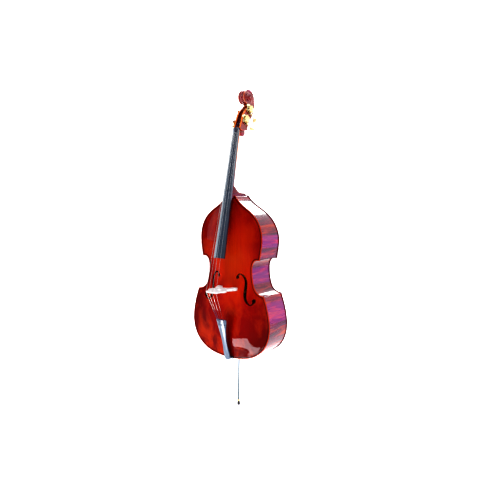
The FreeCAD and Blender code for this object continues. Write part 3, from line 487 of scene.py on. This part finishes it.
def head_mesh():
    rel_rings = []
    for k, (a0, a1) in enumerate(((0, 360), (360, 720), (720, 900))):
        for phi in np.arange(a0, a1, 4.0):
            outer = spiral_radius(np.array([phi]))[0]
            inner = max(spiral_radius(np.array([phi + 360.0]))[0], EYE_R) if k < 2 else EYE_R
            if outer - inner < 0.6:
                continue
            for s in (0.0, 0.03, 0.07, 0.13, 0.22, 0.35, 0.5, 0.65, 0.78, 0.88, 0.95):
                r = outer + (inner - outer) * s - 0.05
                a = math.radians(phi)
                rel_rings.append((SCROLL[0] + r * math.cos(a), SCROLL[1] + r * math.sin(a)))
    for r in (EYE_R - 0.3, EYE_R - 1.2, 6, 3, 0.1):
        for a in np.arange(0, 360, 15):
            turn = math.radians(a)
            rel_rings.append((SCROLL[0] + r * math.cos(turn), SCROLL[1] + r * math.sin(turn)))
    pegbox = grid(silhouette, 4.0)
    rel = np.hypot(pegbox[:, 0] - SCROLL[0], pegbox[:, 1] - SCROLL[1])
    pegbox = pegbox[rel > 45]
    extra = np.concatenate([np.array(rel_rings), pegbox, rings(silhouette, (0.8, 1.8, 3.2))])
    pts, tris = triangles(silhouette, [], extra, 0.5)
    edge = distance(pts, silhouette)
    half = head_half(pts)
    half = half - np.clip(RIM_ROUND - edge, 0, None) ** 2 * RIM_FALL
    n = len(pts)
    verts = [at(h, b, u) for (b, u), h in zip(pts, half)] + [at(-h, b, u) for (b, u), h in zip(pts, half)]
    faces = [tuple(f) for f in tris] + [tuple(f[::-1] + n) for f in tris]
    # the rim, with two flutes down the back of the pegbox and over the scroll
    m = len(silhouette)
    columns = 21
    rim_half = head_half(silhouette) - RIM_ROUND ** 2 * RIM_FALL
    inward = -normals_of(silhouette)
    if not in_polygon(silhouette[5:6] + inward[5:6] * 2, silhouette)[0]:
        inward = -inward
    turned = np.arange(m)
    n_front = len(front_line) - 1
    fluted = (turned > n_front + 3) & (turned < m - len(under) - 3)
    spread = np.pad(fluted.astype(float), 6, mode="edge")
    depth = np.convolve(spread, np.ones(13) / 13, mode="valid")[:m] * FLUTE_DEPTH
    base = len(verts)
    for i in range(m):
        for c in range(columns):
            x = 2 * c / (columns - 1) - 1
            dip = depth[i] * (1 - math.cos(2 * math.pi * x)) / 2
            b, u = silhouette[i] + inward[i] * dip
            verts.append(at(x * rim_half[i], b, u))
    for i in range(m):
        j = (i + 1) % m
        for c in range(columns - 1):
            faces.append((base + i * columns + c, base + i * columns + c + 1, base + j * columns + c + 1,
                          base + j * columns + c))
    obj = add_mesh("head", verts, faces, sharp=0, merge=0)
    # painted highlight: the faces near the head's edges and the two outer edges of the rim and its flutes are
    # painted light orange for the light they catch; the front rim is painted as varnish worn through to the wood
    near_edge = np.exp(-(np.clip(edge, 0, None) / 1.3) ** 2)
    front_end = n_front + 2
    bare = (turned < front_end).astype(float)
    rim_wear_and_sheen = np.repeat(bare[:, None], columns, 1)
    rim_wear_and_sheen[:, (0, -1)] = 1
    wear_and_sheen = np.concatenate([near_edge, near_edge, rim_wear_and_sheen.ravel()])
    attribute = obj.data.attributes.new("wear_and_sheen", "FLOAT", "POINT")
    attribute.data.foreach_set("value", wear_and_sheen.astype(np.float32))
    tidy_mesh(obj.data, 0, 0.05)
    return obj


def prism(name, outline, half):
    """A closed solid from a (back, up) outline, as wide as half(up) to each side."""
    pts = np.array(outline, float)
    n = len(pts)
    verts = [at(-half(u), b, u) for b, u in pts] + [at(half(u), b, u) for b, u in pts]
    faces = [tuple(range(n)), tuple(range(2 * n - 1, n - 1, -1))]
    faces += [(i, (i + 1) % n, (i + 1) % n + n, i + n) for i in range(n)]
    return add_mesh(name, verts, faces, sharp=0, merge=0)


head = head_mesh()
cavity = prism("cavity", curve(CAVITY + [CAVITY[0]], step=5.0)[:-1], lambda u: 18.5 - 4.5 * (u - 1555) / 175)
modifier(head, "BOOLEAN", operation="DIFFERENCE", object=cavity, solver="EXACT")
apply_modifiers(head)
bpy.data.objects.remove(cavity)
tidy_mesh(head.data, 42, 0.01)


def rounded(name, outline, half, power, step=2.5):
    """A piece carved round: widest inside its (back, up) outline, falling to nothing at its edge."""
    extra = np.concatenate([grid(outline, step), rings(outline, (0.4, 1.0, 2.0, 3.5))])
    pts, tris = triangles(outline, [], extra, 0.3)
    d = distance(pts, outline)
    wide = half * np.sqrt(1 - (1 - np.clip(d / power, 0, 1)) ** 2)
    n = len(pts)
    verts = [at(w, b, u) for (b, u), w in zip(pts, wide)] + [at(-w, b, u) for (b, u), w in zip(pts, wide)]
    return add_mesh(name, verts, [tuple(f) for f in tris] + [tuple(f[::-1] + n) for f in tris], 60, 0.02)


chin_line = curve([(84, 1560), (80, 1532), (92, 1520), (108, 1513), (124, 1512.5), (136, 1521), (141, 1540),
                   (137, 1562)], step=2.0)
chin = rounded("chin", np.concatenate([chin_line, [(110, 1566)]]), 17.5, 16)

# ---- neck: the CAD neck with its edges carved round -------------------------------------
TILT = math.radians(11.6)
neck = NODES["neck"].copy()
neck.data = NODES["neck"].data.copy()
neck.name = "neck-carved"
bpy.context.scene.collection.objects.link(neck)
neck.parent = None
modifier(neck, "REMESH", mode="VOXEL", voxel_size=2.4 * MM)
apply_modifiers(neck)


def behind_board(co):
    b, u = co.y / MM - FRONT_Y, co.z / MM - BOTTOM_Z
    return (b - GLUE[0]) * math.cos(TILT) - (u - GLUE[1]) * math.sin(TILT)


bm = bmesh.new()
bm.from_mesh(neck.data)
HELD = 2.6
free = [v for v in bm.verts if behind_board(v.co) > HELD and v.co.z / MM - BOTTOM_Z < 1548]
for _ in range(14):
    bmesh.ops.smooth_vert(bm, verts=free, factor=0.5, use_axis_x=True, use_axis_y=True, use_axis_z=True)
bm.to_mesh(neck.data)
bm.free()
tidy_mesh(neck.data, 50, 0)

# ---- materials --------------------------------------------------------------------------
RED_DEEP = (0.12, 0.001, 0.001, 1)
RED = (0.24, 0.002, 0.001, 1)
ORANGE = (0.55, 0.052, 0.002, 1)


class Nodes:
    """A material's node tree, built by short calls."""

    def __init__(self, name, **sockets):
        self.mat = bpy.data.materials.new(name)
        self.mat.use_nodes = True
        self.tree = self.mat.node_tree
        self.shader = self.tree.nodes["Principled BSDF"]
        for key, value in sockets.items():
            self.shader.inputs[key.replace("_", " ")].default_value = value

    def add(self, kind, inputs=None, **settings):
        node = self.tree.nodes.new(kind)
        for key, value in settings.items():
            setattr(node, key, value)
        for key, value in (inputs or {}).items():
            if isinstance(value, bpy.types.NodeSocket):
                self.tree.links.new(value, node.inputs[key])
            else:
                node.inputs[key].default_value = value
        return node

    def place(self, scale=(1, 1, 1), rotation=(0, 0, 0)):
        coord = self.add("ShaderNodeTexCoord")
        return self.add("ShaderNodeMapping", {"Vector": coord.outputs["Object"], "Scale": scale,
                                              "Rotation": rotation}).outputs["Vector"]

    def noise(self, scale, detail=4, roughness=0.55, at_scale=(1, 1, 1), distortion=0.0):
        node = self.add("ShaderNodeTexNoise", {"Vector": self.place(at_scale), "Scale": scale, "Detail": detail,
                                               "Roughness": roughness, "Distortion": distortion})
        return node.outputs["Fac"]

    def ramp(self, fac, stops, ease="LINEAR"):
        node = self.add("ShaderNodeValToRGB", {"Fac": fac})
        ramp = node.color_ramp
        ramp.interpolation = ease
        while len(ramp.elements) < len(stops):
            ramp.elements.new(0.5)
        for element, (place, colour) in zip(ramp.elements, stops):
            element.position = place
            element.color = colour if len(colour) == 4 else (*colour, 1)
        return node.outputs["Color"]

    def mix(self, fac, a, b, mode="MIX"):
        node = self.add("ShaderNodeMix", data_type="RGBA", blend_type=mode)
        for socket, value in ((node.inputs[0], fac), (node.inputs[6], a), (node.inputs[7], b)):
            if isinstance(value, bpy.types.NodeSocket):
                self.tree.links.new(value, socket)
            else:
                socket.default_value = value
        return node.outputs[2]

    def math(self, kind, a, b=0.0, clamp=False):
        node = self.add("ShaderNodeMath", operation=kind, use_clamp=clamp)
        for socket, value in ((node.inputs[0], a), (node.inputs[1], b)):
            if isinstance(value, bpy.types.NodeSocket):
                self.tree.links.new(value, socket)
            else:
                socket.default_value = value
        return node.outputs[0]

    def out(self, socket, value):
        self.tree.links.new(value, self.shader.inputs[socket])

    def bump(self, height, strength, distance):
        node = self.add("ShaderNodeBump", {"Height": height, "Strength": strength, "Distance": distance})
        self.out("Normal", node.outputs["Normal"])


def grey(v):
    return (v, v, v, 1)


def varnish_front():
    m = Nodes("varnish-front", Roughness=0.32, Specular_IOR_Level=0.0, Coat_Weight=0.75, Coat_Roughness=0.03,
              Coat_IOR=1.22)
    coord = m.add("ShaderNodeTexCoord").outputs["Object"]
    split = m.add("ShaderNodeSeparateXYZ", {"Vector": coord})
    centre_z = (BOTTOM_Z + 680) * MM
    dx = m.math("DIVIDE", m.math("SUBTRACT", split.outputs["X"], 0.04), 0.36)
    dz = m.math("DIVIDE", m.math("SUBTRACT", split.outputs["Z"], centre_z), 0.62)
    away = m.math("SQRT", m.math("ADD", m.math("MULTIPLY", dx, dx), m.math("MULTIPLY", dz, dz)))
    away = m.math("ADD", away, m.math("MULTIPLY", m.math("SUBTRACT", m.noise(5.0, 3), 0.5), 0.22))
    base = m.ramp(away, [(0.0, ORANGE), (0.34, (0.44, 0.022, 0.001, 1)), (0.60, RED),
                         (0.92, (0.16, 0.001, 0.001, 1)), (1.0, RED_DEEP)])
    grain = m.noise(1.0, 6, 0.7, at_scale=(520, 6, 3.2))
    colour = m.mix(m.ramp(grain, [(0.42, grey(0)), (0.62, grey(1))]), base,
                   m.mix(0.25, base, (0.06, 0.002, 0.001, 1)))
    cloud = m.noise(9.0, 5, 0.6, at_scale=(1, 1, 0.55), distortion=0.6)
    colour = m.mix(m.ramp(cloud, [(0.46, grey(0)), (0.72, grey(0.6))]), colour, (0.46, 0.040, 0.002, 1))
    edge = m.add("ShaderNodeAttribute", attribute_name="edge_mm").outputs["Fac"]
    deep = m.math("DIVIDE", edge, 20.0)
    colour = m.mix(m.ramp(deep, [(0.0, grey(0.85)), (0.24, grey(0.7)), (0.30, grey(0))]), colour,
                   (0.52, 0.045, 0.006, 1))
    inlay = m.ramp(deep, [(0.0, grey(0)), (0.28, grey(0.15)), (0.335, grey(0.9)), (0.352, grey(1)), (0.56, grey(1)),
                          (0.60, grey(0.6)), (0.72, grey(0.12)), (1.0, grey(0))])
    colour = m.mix(inlay, colour, (0.030, 0.002, 0.002, 1))
    m.out("Base Color", colour)
    m.out("Roughness", m.ramp(m.noise(30, 4), [(0.3, grey(0.26)), (0.7, grey(0.40))]))
    m.bump(m.math("ADD", m.math("MULTIPLY", grain, 0.35), m.noise(160, 3)), 0.06, 0.0006)
    return m.mat


def varnish_back():
    m = Nodes("varnish-back", Roughness=0.32, Specular_IOR_Level=0.05, Coat_Weight=1.0, Coat_Roughness=0.03,
              Coat_IOR=1.38)
    split = m.add("ShaderNodeSeparateXYZ", {"Vector": m.add("ShaderNodeTexCoord").outputs["Object"]})
    dx = m.math("DIVIDE", split.outputs["X"], 0.34)
    dz = m.math("DIVIDE", m.math("SUBTRACT", split.outputs["Z"], (BOTTOM_Z + 520) * MM), 0.66)
    away = m.math("SQRT", m.math("ADD", m.math("MULTIPLY", dx, dx), m.math("MULTIPLY", dz, dz)))
    base = m.ramp(away, [(0.0, (0.5, 0.07, 0.01, 1)), (0.5, RED), (1.0, RED_DEEP)])
    flame = m.noise(1.0, 3, 0.5, at_scale=(7, 5, 95), distortion=0.7)
    colour = m.mix(m.ramp(flame, [(0.40, grey(0)), (0.60, grey(0.7))]), base, (0.10, 0.006, 0.006, 1))
    pores = m.noise(1.0, 4, 0.7, at_scale=(900, 50, 40))
    colour = m.mix(m.ramp(pores, [(0.60, grey(0)), (0.72, grey(0.35))]), colour, (0.04, 0.003, 0.003, 1))
    edge = m.add("ShaderNodeAttribute", attribute_name="edge_mm").outputs["Fac"]
    inlay = m.ramp(m.math("DIVIDE", edge, 20.0), [(0.0, grey(0.7)), (0.10, grey(0.2)), (0.345, grey(0.1)),
                                                   (0.352, grey(1)), (0.458, grey(1)), (0.466, grey(0.05)),
                                                   (1.0, grey(0))])
    m.out("Base Color", m.mix(inlay, colour, (0.022, 0.006, 0.005, 1)))
    m.out("Roughness", m.ramp(m.noise(30, 4), [(0.3, grey(0.26)), (0.7, grey(0.40))]))
    m.bump(m.noise(140, 3), 0.05, 0.0006)
    return m.mat


def varnish_rib():
    m = Nodes("varnish-rib", Roughness=0.25, Specular_IOR_Level=0.2, Coat_Weight=1.0, Coat_Roughness=0.03,
              Coat_IOR=1.33)
    flame = m.noise(1.0, 3, 0.55, at_scale=(3, 2.6, 26), distortion=1.1)
    fine = m.noise(1.0, 5, 0.6, at_scale=(9, 7, 120), distortion=0.4)
    colour = m.ramp(flame, [(0.32, (0.060, 0.001, 0.020, 1)), (0.45, (0.13, 0.001, 0.030, 1)),
                            (0.54, (0.22, 0.003, 0.022, 1)), (0.64, (0.40, 0.030, 0.006, 1))])
    colour = m.mix(m.ramp(fine, [(0.45, grey(0)), (0.68, grey(0.6))]), colour, (0.05, 0.001, 0.010, 1))
    m.out("Base Color", colour)
    m.out("Roughness", m.ramp(flame, [(0.3, grey(0.2)), (0.7, grey(0.34))]))
    m.bump(m.noise(1.0, 3, at_scale=(5, 5, 26), distortion=0.8), 0.22, 0.0020)
    return m.mat


def varnish_neck():
    m = Nodes("varnish-neck", Roughness=0.4, Specular_IOR_Level=0.1, Coat_Weight=0.5, Coat_Roughness=0.07)
    flame = m.noise(1.0, 3, 0.5, at_scale=(18, 18, 70), distortion=0.8)
    colour = m.ramp(flame, [(0.32, (0.07, 0.001, 0.005, 1)), (0.55, (0.14, 0.002, 0.007, 1)),
                            (0.72, (0.24, 0.010, 0.007, 1))])
    z = m.add("ShaderNodeSeparateXYZ", {"Vector": m.add("ShaderNodeTexCoord").outputs["Object"]}).outputs["Z"]
    high = m.math("MULTIPLY", m.math("SUBTRACT", z, (BOTTOM_Z + 1230) * MM), 6.0, clamp=True)
    wear_and_sheen = m.noise(14, 5, 0.6)
    rubbed = m.math("MULTIPLY", high, m.ramp(wear_and_sheen, [(0.2, grey(0.45)), (0.75, grey(0.9))]))
    colour = m.mix(rubbed, colour, (0.74, 0.24, 0.06, 1))
    m.out("Base Color", colour)
    m.out("Roughness", m.ramp(wear_and_sheen, [(0.3, grey(0.25)), (0.75, grey(0.45))]))
    m.bump(m.noise(220, 4), 0.06, 0.0005)
    return m.mat


def varnish_head():
    m = Nodes("varnish-head", Roughness=0.28, Specular_IOR_Level=0.2, Coat_Weight=1.0, Coat_Roughness=0.04)
    flame = m.noise(1.0, 3, 0.5, at_scale=(12, 12, 34), distortion=0.7)
    colour = m.ramp(flame, [(0.30, (0.16, 0.002, 0.004, 1)), (0.55, (0.23, 0.004, 0.006, 1)),
                            (0.75, (0.33, 0.012, 0.008, 1))])
    # the light orange mixed in here is painted highlight along the head's edges and flutes, and worn varnish on the
    # front rim
    wear_and_sheen = m.add("ShaderNodeAttribute", attribute_name="wear_and_sheen").outputs["Fac"]
    colour = m.mix(m.ramp(wear_and_sheen, [(0.25, grey(0)), (0.8, grey(1))]), colour, (0.86, 0.20, 0.010, 1))
    m.out("Base Color", colour)
    m.out("Roughness", m.ramp(m.noise(40, 4), [(0.3, grey(0.22)), (0.7, grey(0.4))]))
    m.bump(m.noise(240, 4), 0.03, 0.0002)
    return m.mat


def ebony(name, coat, rough, lift):
    m = Nodes(name, Roughness=rough, Coat_Weight=coat, Coat_Roughness=0.12)
    grain = m.noise(1.0, 6, 0.6, at_scale=(160, 60, 3))
    m.out("Base Color", m.ramp(grain, [(0.30, tuple(lift * c for c in (0.010, 0.016, 0.028)) + (1,)),
                                       (0.55, tuple(lift * c for c in (0.018, 0.030, 0.050)) + (1,)),
                                       (0.80, tuple(lift * c for c in (0.045, 0.055, 0.075)) + (1,))]))
    m.out("Roughness", m.ramp(m.noise(5, 3), [(0.3, grey(rough * 0.8)), (0.7, grey(rough * 1.25))]))
    m.bump(m.noise(1.0, 3, at_scale=(60, 60, 2)), 0.03, 0.0002)
    return m.mat


def bare_wood(name, light, dark, scale):
    m = Nodes(name, Roughness=0.55, Coat_Weight=0.12, Coat_Roughness=0.4)
    grain = m.noise(1.0, 5, 0.65, at_scale=scale)
    flecks = m.noise(1.0, 3, 0.6, at_scale=(scale[0] * 2.5, scale[1] * 2.5, scale[2] * 6))
    colour = m.mix(m.ramp(grain, [(0.35, grey(0)), (0.7, grey(1))]), light, dark)
    m.out("Base Color", m.mix(m.ramp(flecks, [(0.62, grey(0)), (0.7, grey(0.4))]), colour,
                              tuple(c * 0.6 for c in dark[:3]) + (1,)))
    m.out("Roughness", m.ramp(grain, [(0.3, grey(0.45)), (0.7, grey(0.65))]))
    m.bump(grain, 0.15, 0.0004)
    return m.mat


def metal(name, light, dark, rough, scratch=(60, 60, 900), bump=0.04):
    m = Nodes(name, Metallic=1.0, Roughness=rough)
    tarnish = m.noise(45, 5, 0.6)
    lines = m.noise(1.0, 4, 0.6, at_scale=scratch)
    m.out("Base Color", m.mix(m.ramp(tarnish, [(0.40, grey(0)), (0.72, grey(1))]), light, dark))
    m.out("Roughness", m.ramp(lines, [(0.3, grey(rough * 0.7)), (0.7, grey(rough * 1.5))]))
    m.bump(lines, bump, 0.0002)
    return m.mat


def string_metal(name, light, dark, silk, low_end, high_end):
    """Wound steel, with silk below low_end and above high_end (heights in metres)."""
    m = Nodes(name, Metallic=0.9, Roughness=0.3)
    z = m.add("ShaderNodeSeparateXYZ", {"Vector": m.add("ShaderNodeTexCoord").outputs["Object"]}).outputs["Z"]
    ends = m.math("MAXIMUM", m.math("LESS_THAN", z, low_end), m.math("GREATER_THAN", z, high_end))
    turns = m.noise(1.0, 2, at_scale=(20, 20, 2600))
    colour = m.mix(m.ramp(turns, [(0.35, grey(0)), (0.65, grey(1))]), light, dark)
    silk_shade = tuple(c * 0.4 for c in silk[:3]) + (1,)
    thread = m.mix(m.ramp(turns, [(0.35, grey(0)), (0.65, grey(1))]), silk, silk_shade)
    m.out("Base Color", m.mix(ends, colour, thread))
    m.out("Metallic", m.math("SUBTRACT", 0.9, m.math("MULTIPLY", ends, 0.9)))
    m.out("Roughness", m.math("ADD", 0.28, m.math("MULTIPLY", ends, 0.3)))
    m.bump(turns, 0.3, 0.0001)
    return m.mat


def rubber():
    m = Nodes("rubber", Roughness=0.75)
    m.out("Base Color", m.ramp(m.noise(90, 4), [(0.3, (0.010, 0.010, 0.011, 1)),
                                                (0.7, (0.032, 0.031, 0.030, 1))]))
    m.out("Roughness", m.ramp(m.noise(60, 4), [(0.3, grey(0.6)), (0.7, grey(0.85))]))
    m.bump(m.noise(900, 3), 0.2, 0.0003)
    return m.mat


def engraved_brass():
    m = Nodes("plate-brass", Metallic=1.0, Roughness=0.3)
    tarnish = m.noise(55, 5, 0.6)
    m.out("Base Color", m.mix(m.ramp(tarnish, [(0.42, grey(0)), (0.74, grey(1))]), (0.80, 0.80, 0.60, 1),
                              (0.56, 0.53, 0.28, 1)))
    waves = m.add("ShaderNodeTexWave", {"Vector": m.place((1, 1, 1)), "Scale": 110.0, "Distortion": 9.0,
                                        "Detail": 2.0, "Detail Scale": 1.4}, wave_type="RINGS").outputs["Fac"]
    m.out("Roughness", m.ramp(tarnish, [(0.3, grey(0.2)), (0.75, grey(0.42))]))
    m.bump(m.ramp(waves, [(0.30, grey(0)), (0.45, grey(1))]), 0.35, 0.0005)
    return m.mat


nut_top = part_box("nut")[1][2]
tail_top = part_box("tailpiece")[1][2]
MATERIALS = {
    "front": varnish_front(),
    "back": varnish_back(),
    "rib": varnish_rib(),
    "neck": varnish_neck(),
    "head": varnish_head(),
    "ebony": ebony("ebony", 0.9, 0.3, 1.4),
    "tail_ebony": ebony("tail-ebony", 0.7, 0.32, 2.6),
    "bridge": bare_wood("bridge-maple", (0.82, 0.83, 0.82, 1), (0.62, 0.60, 0.56, 1), (14, 14, 260)),
    "spruce": bare_wood("bare-spruce", (0.78, 0.62, 0.40, 1), (0.58, 0.38, 0.20, 1), (300, 12, 3)),
    "purfling": bare_wood("purfling-wood", (0.030, 0.012, 0.008, 1), (0.016, 0.007, 0.005, 1), (200, 30, 20)),
    "plate_brass": engraved_brass(),
    "gear_brass": metal("gear-brass", (0.88, 0.74, 0.40, 1), (0.50, 0.34, 0.14, 1), 0.28),
    "bronze": metal("key-bronze", (0.74, 0.60, 0.30, 1), (0.34, 0.24, 0.09, 1), 0.34, (90, 90, 90)),
    "steel": metal("machine-steel", (0.74, 0.75, 0.78, 1), (0.48, 0.48, 0.50, 1), 0.24),
    "pin": metal("pin-steel", (0.05, 0.09, 0.12, 1), (0.03, 0.05, 0.07, 1), 0.45, (300, 300, 30)),
    "collar_brass": metal("collar-brass", (0.80, 0.62, 0.28, 1), (0.46, 0.30, 0.11, 1), 0.26),
    "wire": metal("wire-steel", (0.60, 0.60, 0.62, 1), (0.32, 0.32, 0.34, 1), 0.3, (700, 700, 700)),
    "rubber": rubber(),
    "string_bass": string_metal("string-bass", (0.56, 0.52, 0.48, 1), (0.22, 0.19, 0.17, 1),
                                (0.06, 0.07, 0.16, 1), tail_top + 0.07, nut_top - 0.03),
    "string_treble": string_metal("string-treble", (0.66, 0.64, 0.62, 1), (0.30, 0.28, 0.27, 1),
                                  (0.20, 0.03, 0.05, 1), tail_top + 0.07, nut_top - 0.03),
}
GIVEN = {
    "spruce": ["neck_block", "tail_block", "corner_blocks", "front_linings", "back_linings", "bass_bar",
               "sound_post"],
    "purfling": ["top_purfling", "back_purfling"],
    "ebony": ["fingerboard", "nut", "saddle"],
    "tail_ebony": ["tailpiece"],
    "bridge": ["bridge"],
    "wire": ["tail_wire"],
    "string_bass": ["string_e", "string_a", "string_wrap_e", "string_wrap_a"],
    "string_treble": ["string_d", "string_g", "string_wrap_d", "string_wrap_g"],
    "plate_brass": ["plate_e", "plate_a", "plate_d", "plate_g"],
    "gear_brass": ["gear_e", "gear_a", "gear_d", "gear_g"],
    "bronze": ["worm_e", "worm_a", "worm_d", "worm_g", "key_e", "key_a", "key_d", "key_g"],
    "steel": ["roller_e", "roller_a", "roller_d", "roller_g", "plate_screws"],
    "pin": ["endpin_rod"],
    "collar_brass": ["endpin_socket", "endpin_ferrule", "endpin_screw"],
    "rubber": ["endpin_tip"],
}


def paint(obj, key):
    obj.data.materials.clear()
    obj.data.materials.append(MATERIALS[key])


SMOOTH_UP_TO = math.radians(38)     # faces that meet more sharply than this keep a hard edge
SMALL_BEVEL = 0.35                  # millimetres, on the brass and bronze pieces
BEVELS = {"bridge": 1.0, "tailpiece": 1.2, "fingerboard": 0.8, "nut": 0.8, "saddle": 0.8, "endpin_socket": 0.5,
          "endpin_ferrule": 0.5, "endpin_screw": 0.6}
for key, names in GIVEN.items():
    for name in names:
        node = NODES[name]
        paint(node, key)
        node.data.polygons.foreach_set("use_smooth", [True] * len(node.data.polygons))
        width = BEVELS.get(name, SMALL_BEVEL if key in ("plate_brass", "gear_brass", "bronze") else 0)
        if width:
            modifier(node, "BEVEL", width=width * MM, segments=2, limit_method="ANGLE",
                     angle_limit=math.radians(40), use_clamp_overlap=True)
        modifier(node, "WEIGHTED_NORMAL", keep_sharp=True, weight=60)
        node.data.set_sharp_from_angle(angle=SMOOTH_UP_TO)

for obj, key, nodes in ((top, "front", ["top_plate", "top_purfling"]),
                        (back, "back", ["back_plate", "back_purfling"]),
                        (head, "head", ["scroll_head"]), (chin, "head", []), (neck, "neck", ["neck"])):
    if key in ("front", "back"):
        for i, inner in enumerate((key, "spruce", "purfling")):
            obj.data.materials[i] = MATERIALS[inner]
    else:
        paint(obj, key)
    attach(obj, BODY)
    if nodes:
        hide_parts(*nodes)
for side, s in (("right", 1), ("left", -1)):
    for part in ("upper", "waist", "lower"):
        piece = rib(part, side, s)
        paint(piece, "rib")
        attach(piece, BODY)
        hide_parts("rib_%s_%s" % (part, side))

# ---- floor, light and camera ------------------------------------------------------------
FLOOR_REACH = 9                     # metres, from the bass to each side of the floor
floor_mesh = bpy.data.meshes.new("floor")
floor_mesh.from_pydata([(x * FLOOR_REACH, y * FLOOR_REACH, 0) for x, y in ((-1, -1), (1, -1), (1, 1), (-1, 1))],
                       [], [(0, 1, 2, 3)])
floor = bpy.data.objects.new("floor", floor_mesh)
bpy.context.scene.collection.objects.link(floor)
pale = Nodes("floor-pale", Roughness=0.8)
pale.out("Base Color", pale.ramp(pale.noise(2.0, 3), [(0.3, grey(0.92)), (0.7, grey(0.95))]))
floor.data.materials.append(pale.mat)

# the room is grey in front of the bass, so that its varnish shows deep, and white behind it
SKY_FRONT, SKY_SIDE, SKY_BEHIND = (0.36, 0.37, 0.40, 1), (0.42, 0.46, 0.52, 1), (1.0, 1.0, 1.0, 1)
SKY_STRENGTH = 1.2
world = bpy.data.worlds.new("studio")
bpy.context.scene.world = world
world.use_nodes = True
sky = world.node_tree
spot = sky.nodes.new("ShaderNodeTexCoord")
axes = sky.nodes.new("ShaderNodeSeparateXYZ")
across = sky.nodes.new("ShaderNodeMapRange")
across.inputs["From Min"].default_value = -0.55
across.inputs["From Max"].default_value = 0.25
shade = sky.nodes.new("ShaderNodeValToRGB")
shade.color_ramp.elements[0].color = SKY_FRONT
shade.color_ramp.elements[1].color = SKY_BEHIND
middle_stop = shade.color_ramp.elements.new(0.45)
middle_stop.color = SKY_SIDE
sky.links.new(spot.outputs["Generated"], axes.inputs["Vector"])
sky.links.new(axes.outputs["Y"], across.inputs["Value"])
sky.links.new(across.outputs["Result"], shade.inputs["Fac"])
sky.links.new(shade.outputs["Color"], sky.nodes["Background"].inputs["Color"])
sky.nodes["Background"].inputs["Strength"].default_value = SKY_STRENGTH


def softbox(name, place, target, size, power, colour=(1, 1, 1)):
    light = bpy.data.lights.new(name, "AREA")
    light.shape = "RECTANGLE"
    light.size, light.size_y = size
    light.energy = power
    light.color = colour
    obj = bpy.data.objects.new(name, light)
    obj.location = place
    obj.rotation_euler = (Vector(target) - Vector(place)).to_track_quat("-Z", "Y").to_euler()
    obj.visible_camera = False
    bpy.context.scene.collection.objects.link(obj)
    return obj


middle = (0, 0, 1.0)
softbox("key", (1.3, -3.3, 3.7), middle, (1.2, 1.2), 18, (1.0, 0.97, 0.93))
softbox("top", (0.0, -2.4, 4.6), middle, (1.2, 1.2), 8)
softbox("board-strip", (-3.0, -0.95, 2.1), (0, 0, 1.5), (1.8, 2.6), 26, (0.80, 0.92, 1.0))
# purple, for the tint that the treble ribs show in the photo
softbox("rib-strip", (2.5, 2.8, 0.8), (0.2, 0, 0.8), (1.9, 1.3), 11, (0.72, 0.03, 1.0))
# a small pane whose reflection sits low on the front
softbox("low-window", (-0.26, -0.75, 0.12), (0.15, -0.12, 0.47), (0.31, 0.22), 4.2, (0.9, 0.95, 1.0))
softbox("floor-wash", (-1.5, 3.0, 3.5), (-1.0, 1.5, 0), (3.0, 3.0), 150)

camera_data = bpy.data.cameras.new("camera")
camera_data.sensor_width = 36.0
camera_data.lens = 41.15
camera = bpy.data.objects.new("camera", camera_data)
CAMERA_AT = (2282, -2898, 1153)
YAW, PITCH, ROLL = math.radians(37.19), math.radians(5.25), math.radians(0.5)
look = Vector((-math.sin(YAW) * math.cos(PITCH), math.cos(YAW) * math.cos(PITCH), -math.sin(PITCH)))
right = Vector((math.cos(YAW), math.sin(YAW), 0))
upward = right.cross(look)
rolled_right = math.cos(ROLL) * right + math.sin(ROLL) * upward
rolled_up = -math.sin(ROLL) * right + math.cos(ROLL) * upward
facing = Matrix((rolled_right, rolled_up, -look)).transposed().to_4x4()
camera.matrix_world = Matrix.Translation(at(*CAMERA_AT)) @ facing
bpy.context.scene.collection.objects.link(camera)
bpy.context.scene.camera = camera
bpy.context.scene.view_settings.view_transform = "Standard"
bpy.context.scene.view_settings.look = "Very High Contrast"
